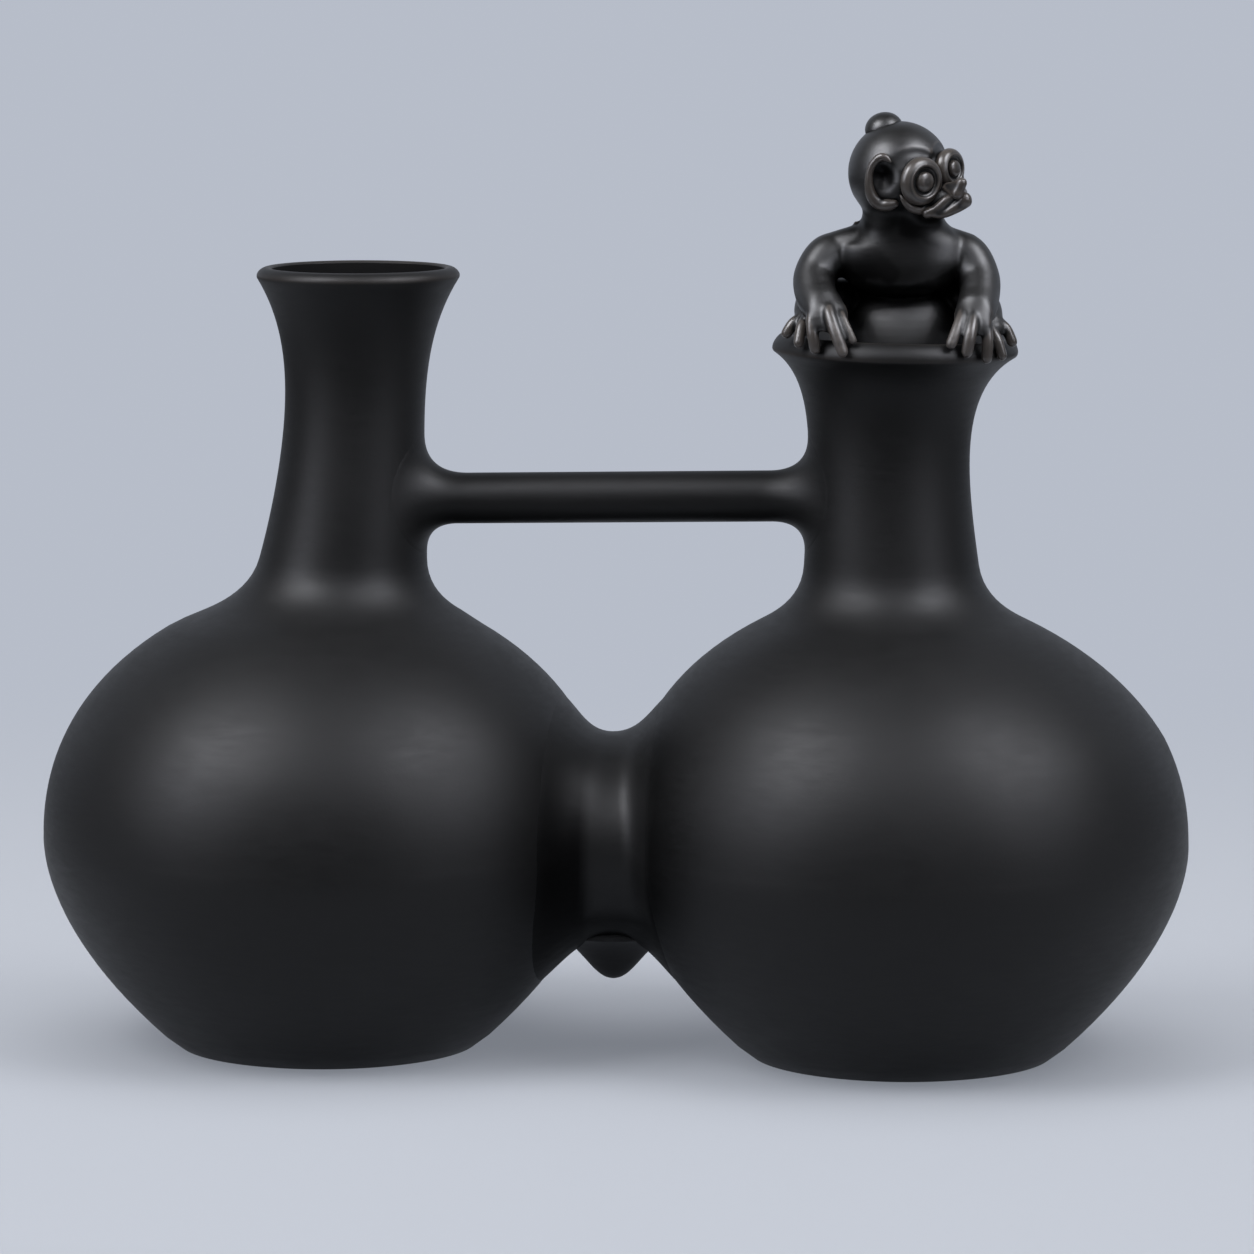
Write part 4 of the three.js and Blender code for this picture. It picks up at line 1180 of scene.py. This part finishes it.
class BOTTLE_OT_body(bpy.types.Operator):
    """Presses the monkey's torso, limbs and head together, smooths the joins and sets the topknot"""

    bl_idname = "whistling_bottle.body"
    bl_label = "Figure body and head"

    def torso(self, bm):
        clay_roll(bm, BACK, ACROSS_X, sides=36, steps=8, cap=9)
        clay_roll(bm, YOKE, ACROSS_Y, sides=36, steps=8, cap=9)
        clay_roll(bm, TRUNK, ACROSS_X, sides=48, steps=8, cap=9, blunt=0.55)
        for ball in (BELLY, LUTING_PELLET):
            lump(bm, *ball, sides=48)
        for side in (LEFT, RIGHT):
            clay_roll(bm, ARMS[side], ACROSS_X, sides=28, steps=8, cap=7)
            clay_roll(bm, LEGS[side], ACROSS_X, sides=28, steps=8, cap=7)
            for places in FINGERS[side] + TOES[side]:
                digit_roll(bm, places)

    def skull(self):
        skull = bmesh.new()
        radius = settings().figure.cranium / MM
        lump(skull, (0, 0, 0), (radius, radius, radius), sides=64)
        clay_roll(skull, MUZZLE, ACROSS_X, sides=40, steps=8, cap=9)
        for side in (LEFT, RIGHT):
            bed = bmesh.new()
            (x, y, z), radii = EYE_BED
            lump(bed, (-side * x, y, z), radii, sides=40)
            place = eye_frame(side) @ Matrix.Scale(EYE_SIZE[side], 4)
            bmesh.ops.transform(bed, matrix=place, verts=bed.verts)
            join(skull, bed)
            roll = []
            for degrees, reach, height, girth in CHEEK:
                turn = math.radians(degrees)
                spot = Vector((side * reach * math.cos(turn), -reach * math.sin(turn), height))
                roll.append((*(place @ spot), girth, girth))
            clay_roll(skull, roll, ACROSS_Y, sides=16)
        return skull

    def execute(self, context):
        sizes = settings().figure
        on_body = figure_frame().inverted() @ head_frame()
        bm = bmesh.new()
        self.torso(bm)
        skull = self.skull()
        bmesh.ops.transform(skull, matrix=on_body, verts=skull.verts)
        join(bm, skull)
        bm = fused(bm, sizes.grain / MM, passes=4)
        bmesh.ops.transform(bm, matrix=on_body.inverted(), verts=bm.verts)
        # The layer pressed holds painted shade: in the ear bowls and, added below, under the chin
        depth = bm.verts.layers.float.new("pressed")
        face = [vert for vert in bm.verts if vert.co.length < HEAD_REACH]
        press_sockets(face)
        soften(bm, EAR_BOWL["passes"], press_ear_bowls(face, depth))
        bmesh.ops.transform(bm, matrix=on_body, verts=bm.verts)
        # Painted shade on the chest and neck under the chin
        for vert in bm.verts:
            vert[depth] = vert[depth] or eased(oval(vert, CHIN_SHADE))
        tooled = bm.verts.layers.float.new("tooled")
        for vert in bm.verts:
            vert[tooled] = oval(vert, TOOLED)
        pellet = Vector(LUTING_PELLET[0])
        chest = [
            vert for vert in bm.verts
            if CHEST["low"] < vert.co.z < CHEST["high"] and (vert.co - pellet).length > CHEST["pellet"]
        ]
        for half_width, low, passes in CHEST_PASSES:
            near = [vert for vert in chest if abs(vert.co.x - CHEST["middle"]) < half_width]
            soften(bm, passes, [vert for vert in near if vert.co.z > low])
        throat = [vert for vert in bm.verts if THROAT["low"] < vert.co.z < THROAT["high"]]
        soften(bm, THROAT["passes"], [vert for vert in throat if vert.co.y > THROAT["front"]])
        soften(bm, passes=2)
        bmesh.ops.transform(bm, matrix=figure_frame(), verts=bm.verts)
        limbs = [f"{side}_{limb}" for side in ("right", "left") for limb in ("arm", "leg")]
        figure_piece("monkey_body", bm, BODY_WEAR, "figure_torso", "figure_head", *limbs)

        knot = bmesh.new()
        lump(knot, *TOPKNOT, sides=64)
        bmesh.ops.transform(knot, matrix=head_frame(), verts=knot.verts)
        figure_piece("hair_knot", knot, KNOT_WEAR, "topknot")
        return {"FINISHED"}


# Eye: a drum that swells to a broad band, a crisp inner ridge, a groove, and the pupil's dome
RING_OUTLINE = (
    (4.5, -3.2), (4.66, -1.0), (4.62, -0.3), (4.42, 0.3), (4.05, 0.72), (3.6, 0.98), (3.3, 1.1),
    (3.08, 1.06), (2.92, 0.9), (2.78, 0.7), (2.55, 0.55), (2.3, 0.5), (0, 0.5),
)
PUPIL_OUTLINE = ((1.9, 0.1), (1.92, 0.5), (1.86, 0.9), (1.6, 1.26), (0.95, 1.54), (0, 1.62))
EYE_SIZE = {LEFT: 1.0, RIGHT: 0.83}


class BOTTLE_OT_eyes(bpy.types.Operator):
    """Turns the goggle rings and the pupils and seats them on the face"""

    bl_idname = "whistling_bottle.eyes"
    bl_label = "Eyes"

    STEPS, SIDES = 4, 72
    TALL = 0.98
    # Below its seat the drum runs back into the face, slanted outwards and down
    SEAT = -0.8
    SLANT = {LEFT: 0.85, RIGHT: 0.35}
    DROOP = 0.4

    def execute(self, context):
        for side, name in ((LEFT, "right"), (RIGHT, "left")):
            shape = Matrix.Diagonal((1, self.TALL, 1, 1)) @ Matrix.Scale(EYE_SIZE[side], 4)
            place = head_frame() @ eye_frame(side) @ shape
            for part, outline in (("eye_ring", RING_OUTLINE), ("pupil", PUPIL_OUTLINE)):
                foot = [(0, outline[0][1])]
                path = [tuple(p) for p in smooth_path(outline, self.STEPS)]
                bm = turned(foot + path, self.SIDES, MERGE_MM)
                for vert in bm.verts:
                    sunk = max(self.SEAT - vert.co.z, 0)
                    vert.co.x += self.SLANT[side] * sunk
                    vert.co.y -= self.DROOP * sunk
                bmesh.ops.transform(bm, matrix=place, verts=bm.verts)
                figure_piece(f"monkey_{name}_{part}", bm, EYE_WEAR, f"{name}_{part}")
        return {"FINISHED"}


# Ear: a roll laid on the skull, as (forth, up, half width) on a ball of the seat's radius
EAR_SEAT = 10.1
EAR_ROLL = (
    (-5.4, 5.2, 0.3), (-4.7, 5.85, 0.6), (-3.9, 6.18, 0.8), (-2.96, 5.91, 0.8), (-2.22, 5.07, 0.75),
    (-1.77, 3.83, 0.72), (-1.58, 2.5, 0.78), (-1.5, 1.09, 0.9), (-1.55, -0.28, 1.05),
    (-1.98, -1.61, 1.15), (-2.9, -2.56, 1.2), (-4.2, -2.8, 1.15), (-5.2, -2.75, 0.85),
)
EAR_SHIFT = {LEFT: (0, 0), RIGHT: (3.6, -3.4)}


class BOTTLE_OT_ears(bpy.types.Operator):
    """Bends a roll into each ear, open towards the face"""

    bl_idname = "whistling_bottle.ears"
    bl_label = "Ears"

    def execute(self, context):
        sizes = settings().figure
        for side, name in ((LEFT, "right"), (RIGHT, "left")):
            bm = bmesh.new()
            arc = []
            for forth, up, girth in EAR_ROLL:
                y, z = forth + EAR_SHIFT[side][0], up + EAR_SHIFT[side][1]
                arc.append((side * math.sqrt(EAR_SEAT ** 2 - y * y - z * z), y, z, girth, girth))
            clay_roll(bm, arc, ACROSS_X)
            bmesh.ops.transform(bm, matrix=head_frame(), verts=bm.verts)
            bm = fused(bm, sizes.trim_grain, passes=3)
            figure_piece(f"monkey_{name}_ear", bm, EAR_WEAR, f"{name}_ear")
        return {"FINISHED"}


# Nose: rolls for its ridge and wings. Lips and what lies between them: the right half of each roll
NOSE = (
    ((0, -11.6, -2.3, 0.8, 0.8), (0, -13.8, -2.2, 1.2, 1.1), (0, -15.7, -1.4, 1.15, 1.1)),
    ((-0.9, -11.6, -2.2, 0.5, 0.45), (-1.0, -12.9, -2.65, 0.7, 0.65), (-1.0, -14.9, -3.1, 1.35, 1.3)),
    ((-0.5, -13.8, -2.4, 1.0, 1.0), (-0.45, -15.3, -2.35, 1.15, 1.1)),
    ((0.7, -12.6, -2.5, 0.8, 0.7), (0.9, -14.0, -2.9, 1.0, 1.0)),
)
UPPER_LIP = (
    (4.95, -9.85, -5.75, 1.02, 1.05), (3.95, -11.05, -5.5, 1.0, 1.0), (3.2, -11.9, -4.92, 0.98, 0.98),
    (2.2, -12.8, -4.18, 0.9, 0.9), (0, -13.7, -3.8, 0.85, 0.85),
)
LOWER_LIP = (
    (4.5, -10.4, -6.0, 0.6, 0.6), (3.9, -11.35, -6.38, 0.75, 0.78), (3.0, -12.5, -6.46, 0.88, 0.88),
    (1.9, -13.6, -6.1, 1.02, 1.0), (0.8, -14.75, -5.56, 1.2, 1.0), (0, -15.7, -4.82, 1.45, 1.1),
)
MOUTH_FILL = (
    (4.5, -10.5, -5.85, 0.9, 1.0), (3.8, -11.3, -5.95, 0.9, 0.95), (2.9, -12.0, -5.6, 0.75, 0.8),
    (0, -13.4, -4.7, 0.9, 0.9),
)


def both_sides(half):
    """Whole roll from the stations of its right half, which ends in the middle"""
    return [(-station[0], *station[1:]) for station in half[:-1]] + list(half[::-1])


class BOTTLE_OT_mouth(bpy.types.Operator):
    """Rolls the nose with its wings, and the two lips, which meet at the corners"""

    bl_idname = "whistling_bottle.mouth"
    bl_label = "Nose and lips"

    def roll(self, name, paths, across, *nodes, passes):
        bm = bmesh.new()
        for path in paths:
            clay_roll(bm, path, across, steps=8)
        bmesh.ops.transform(bm, matrix=head_frame(), verts=bm.verts)
        figure_piece(name, fused(bm, settings().figure.trim_grain, passes), MOUTH_WEAR, *nodes)

    def execute(self, context):
        self.roll("monkey_nose", NOSE, ACROSS_X, "nose", passes=12)
        lips = [both_sides(half) for half in (UPPER_LIP, LOWER_LIP, MOUTH_FILL)]
        self.roll("monkey_lips", lips, ACROSS_Z, "upper_lip", "lower_lip", passes=2)
        return {"FINISHED"}


class BOTTLE_OT_whistle(bpy.types.Operator):
    """Finishes the plate and the whistle ball, which lie hidden under the figure"""

    bl_idname = "whistling_bottle.whistle"
    bl_label = "Whistle"

    def execute(self, context):
        for name, material in (("mouth_plate", vessel_clay()), ("whistle_ball", figure_clay())):
            mesh = frame["nodes"][name].data
            mesh.materials.clear()
            mesh.materials.append(material)
        return {"FINISHED"}


class BOTTLE_OT_hollows(bpy.types.Operator):
    """Paints shade into the hollows of the figure, darkening the clay and its gloss where little light
    reaches
    """

    bl_idname = "whistling_bottle.hollows"
    bl_label = "Hollows"

    def execute(self, context):
        figure = [piece for piece in context.scene.objects if piece.name.startswith(("monkey_", "hair_"))]
        mark_hollows(figure)
        return {"FINISHED"}


# Studio


class BOTTLE_OT_stage(bpy.types.Operator):
    """Sets the pale sweep, the soft lamps and the camera"""

    bl_idname = "whistling_bottle.stage"
    bl_label = "Studio"

    # Lamps and cards: name, place, size, power, whether they light matt clay and whether gloss shows them
    LAMPS = (
        ("lamp_left", (-0.816, -0.661, 1.258), 0.9, 13, True, True),
        ("card_left", (-0.79, -0.64, 1.22), 0.87, 13.5, False, True),
        ("card_low", (-1.2, -0.84, 0.6), 0.7, 9, False, True),
        ("card_low_right", (1.25, -0.72, 0.6), 0.7, 6, False, True),
        ("lamp_right", (0.968, -0.443, 1.244), 0.9, 9, True, True),
        ("card_right", (0.939, -0.43, 1.208), 0.87, 15.5, False, True),
        ("card_front", (0.12, -1.15, 1.2), 0.8, 3, False, True),
        ("lamp_top", (0, -0.1, 1.8), 2.4, 34, True, False),
    )
    CARD_TINT = (0.88, 0.9, 1)
    LIT = (0, 0, 0.05)
    # Dark cards, each from left to right and from front to back
    FLAGS = ((-2.5, 2.5, -3, -0.18), (-2.5, -0.42, -0.18, 1.6), (0.42, 2.5, -0.18, 1.6))
    FLAG_HEIGHT = 0.002
    FLAG_COLOUR = (0.02, 0.02, 0.02, 1)
    # Sweep: half its width, its front edge, where it begins to rise, the bend's radius and its top
    HALF, FRONT, RISE, BEND, TOP = 9, -9, 2.4, 1.2, 4.5
    BEND_STEPS = 12
    # The paper's own light: how far it stays off beside the object, where it sets in, and how much of it
    # stays near the object
    NEAR = 0.5
    SETS_IN = (0.12, 0.55)
    GLOW = (0.4, 1)
    WORLD_COLOUR = (0.9, 0.95, 1, 1)
    WORLD_STRENGTH = 0.1
    SENSOR = 36
    CLIP_END = 50

    def sweep(self):
        bm = bmesh.new()
        outline = [(-self.HALF, self.FRONT, 0), (-self.HALF, self.RISE, 0)]
        for k in range(1, self.BEND_STEPS + 1):
            turn = math.pi / 2 * k / self.BEND_STEPS
            height = self.BEND * (1 - math.cos(turn))
            outline.append((-self.HALF, self.RISE + self.BEND * math.sin(turn), height))
        outline.append((-self.HALF, self.RISE + self.BEND, self.TOP))
        verts = [bm.verts.new(co) for co in outline]
        edges = [bm.edges.new(pair) for pair in zip(verts, verts[1:])]
        made = bmesh.ops.extrude_edge_only(bm, edges=edges)["geom"]
        moved = [v for v in made if isinstance(v, bmesh.types.BMVert)]
        bmesh.ops.translate(bm, verts=moved, vec=(2 * self.HALF, 0, 0))
        bmesh.ops.recalc_face_normals(bm, faces=bm.faces)
        floor = placed("sweep", bm)
        floor.data.shade_smooth()
        floor.data.materials.append(self.paper())

    def paper(self):
        """Pale paper that keeps the shadow near the object and shows an even tone far behind it"""
        studio = settings().studio
        material = bpy.data.materials.new("pale_paper")
        material.use_nodes = True
        tree = material.node_tree
        paint = tree.nodes["Principled BSDF"]
        paint.inputs["Roughness"].default_value = 0.9
        paint.inputs["Specular IOR Level"].default_value = 0.1
        paint.inputs["Base Color"].default_value = (*studio.floor, 1)
        place = add(tree, "ShaderNodeSeparateXYZ")
        tree.links.new(add(tree, "ShaderNodeTexCoord").outputs["Object"], place.inputs["Vector"])
        beside = math_node(tree, "ABSOLUTE", place.outputs["X"], 0)
        before = math_node(tree, "MULTIPLY", place.outputs["Y"], -1)
        around = math_node(tree, "SUBTRACT", math_node(tree, "MAXIMUM", beside, before), self.NEAR)
        away = math_node(tree, "MAXIMUM", around, place.outputs["Y"])
        far = ramp(tree, away, self.SETS_IN, self.GLOW, interpolation_type="SMOOTHSTEP")
        seen = add(tree, "ShaderNodeLightPath")
        rays = math_node(tree, "MAXIMUM", seen.outputs["Is Camera Ray"], seen.outputs["Is Glossy Ray"])
        rays = math_node(tree, "MAXIMUM", rays, seen.outputs["Is Transmission Ray"])
        glow = add(tree, "ShaderNodeEmission", Color=(*studio.backdrop, 1), Strength=1.0)
        mixed = add(tree, "ShaderNodeMixShader")
        tree.links.new(math_node(tree, "MULTIPLY", far, rays), mixed.inputs["Fac"])
        tree.links.new(paint.outputs["BSDF"], mixed.inputs[1])
        tree.links.new(glow.outputs["Emission"], mixed.inputs[2])
        tree.links.new(mixed.outputs["Shader"], tree.nodes["Material Output"].inputs["Surface"])
        return material

    def flags(self):
        """Dark cards on the floor in front and at the sides, out of sight, that keep the clay black"""
        bm = bmesh.new()
        for left, right, front, back in self.FLAGS:
            place = Matrix.Translation(((left + right) / 2, (front + back) / 2, self.FLAG_HEIGHT))
            place @= Matrix.Diagonal(((right - left) / 2, (back - front) / 2, 1, 1))
            bmesh.ops.create_grid(bm, x_segments=1, y_segments=1, size=1, matrix=place)
        cards = placed("flags", bm)
        material = bpy.data.materials.new("dark_card")
        material.use_nodes = True
        paint = material.node_tree.nodes["Principled BSDF"]
        paint.inputs["Base Color"].default_value = self.FLAG_COLOUR
        paint.inputs["Roughness"].default_value = 1
        paint.inputs["Specular IOR Level"].default_value = 0
        cards.data.materials.append(material)
        cards.visible_camera = cards.visible_diffuse = cards.visible_shadow = False

    def lamp(self, name, place, size, power, on_matt, on_gloss):
        data = bpy.data.lights.new(name, "AREA")
        data.shape = "DISK"
        data.size = size
        data.energy = power
        if not on_matt:
            data.color = self.CARD_TINT
        light = bpy.data.objects.new(name, data)
        light.location = place
        light.rotation_euler = (Vector(self.LIT) - Vector(place)).to_track_quat("-Z", "Y").to_euler()
        light.visible_diffuse = on_matt
        light.visible_glossy = on_gloss
        bpy.context.scene.collection.objects.link(light)

    def camera(self):
        studio = settings().studio
        data = bpy.data.cameras.new("camera")
        data.lens = studio.lens
        data.sensor_width = self.SENSOR
        data.clip_end = self.CLIP_END
        view = bpy.data.objects.new("camera", data)
        forth = Vector((
            -math.sin(studio.azimuth) * math.cos(studio.pitch),
            math.cos(studio.azimuth) * math.cos(studio.pitch),
            -math.sin(studio.pitch),
        ))
        view.location = Vector(studio.target) - forth * studio.distance
        view.rotation_euler = forth.to_track_quat("-Z", "Y").to_euler()
        bpy.context.scene.collection.objects.link(view)
        bpy.context.scene.camera = view

    def execute(self, context):
        scene = bpy.context.scene
        scene.view_settings.view_transform = "Standard"
        world = bpy.data.worlds.new("studio")
        world.use_nodes = True
        sky = world.node_tree.nodes["Background"]
        sky.inputs["Color"].default_value = self.WORLD_COLOUR
        sky.inputs["Strength"].default_value = self.WORLD_STRENGTH
        scene.world = world
        self.sweep()
        self.flags()
        for lamp in self.LAMPS:
            self.lamp(*lamp)
        self.camera()
        return {"FINISHED"}


class BOTTLE_PT_panel(bpy.types.Panel):
    """Lists the pieces of the bottle"""

    bl_idname = "BOTTLE_PT_panel"
    bl_label = "Whistling bottle"
    bl_space_type = "VIEW_3D"
    bl_region_type = "UI"
    bl_category = "Bottle"

    def draw(self, context):
        for operator in OPERATORS:
            self.layout.operator(operator.bl_idname)


OPERATORS = (
    BOTTLE_OT_stage,
    BOTTLE_OT_bottles,
    BOTTLE_OT_bridge,
    BOTTLE_OT_tube,
    BOTTLE_OT_body,
    BOTTLE_OT_eyes,
    BOTTLE_OT_ears,
    BOTTLE_OT_mouth,
    BOTTLE_OT_whistle,
    BOTTLE_OT_hollows,
)
GROUPS = (VesselSizes, SpoutNeck, FigureNeck, LinkSizes, FigureSizes, ClayFinish, StudioSizes, BottleSettings)


def register():
    for item in GROUPS + OPERATORS + (BOTTLE_PT_panel,):
        bpy.utils.register_class(item)
    bpy.types.Scene.whistling_bottle = PointerProperty(type=BottleSettings)


def unregister():
    del bpy.types.Scene.whistling_bottle
    for item in reversed(GROUPS + OPERATORS + (BOTTLE_PT_panel,)):
        bpy.utils.unregister_class(item)


def main():
    register()
    for operator in OPERATORS:
        family, name = operator.bl_idname.split(".")
        getattr(getattr(bpy.ops, family), name)()


if __name__ == "__main__":
    main()
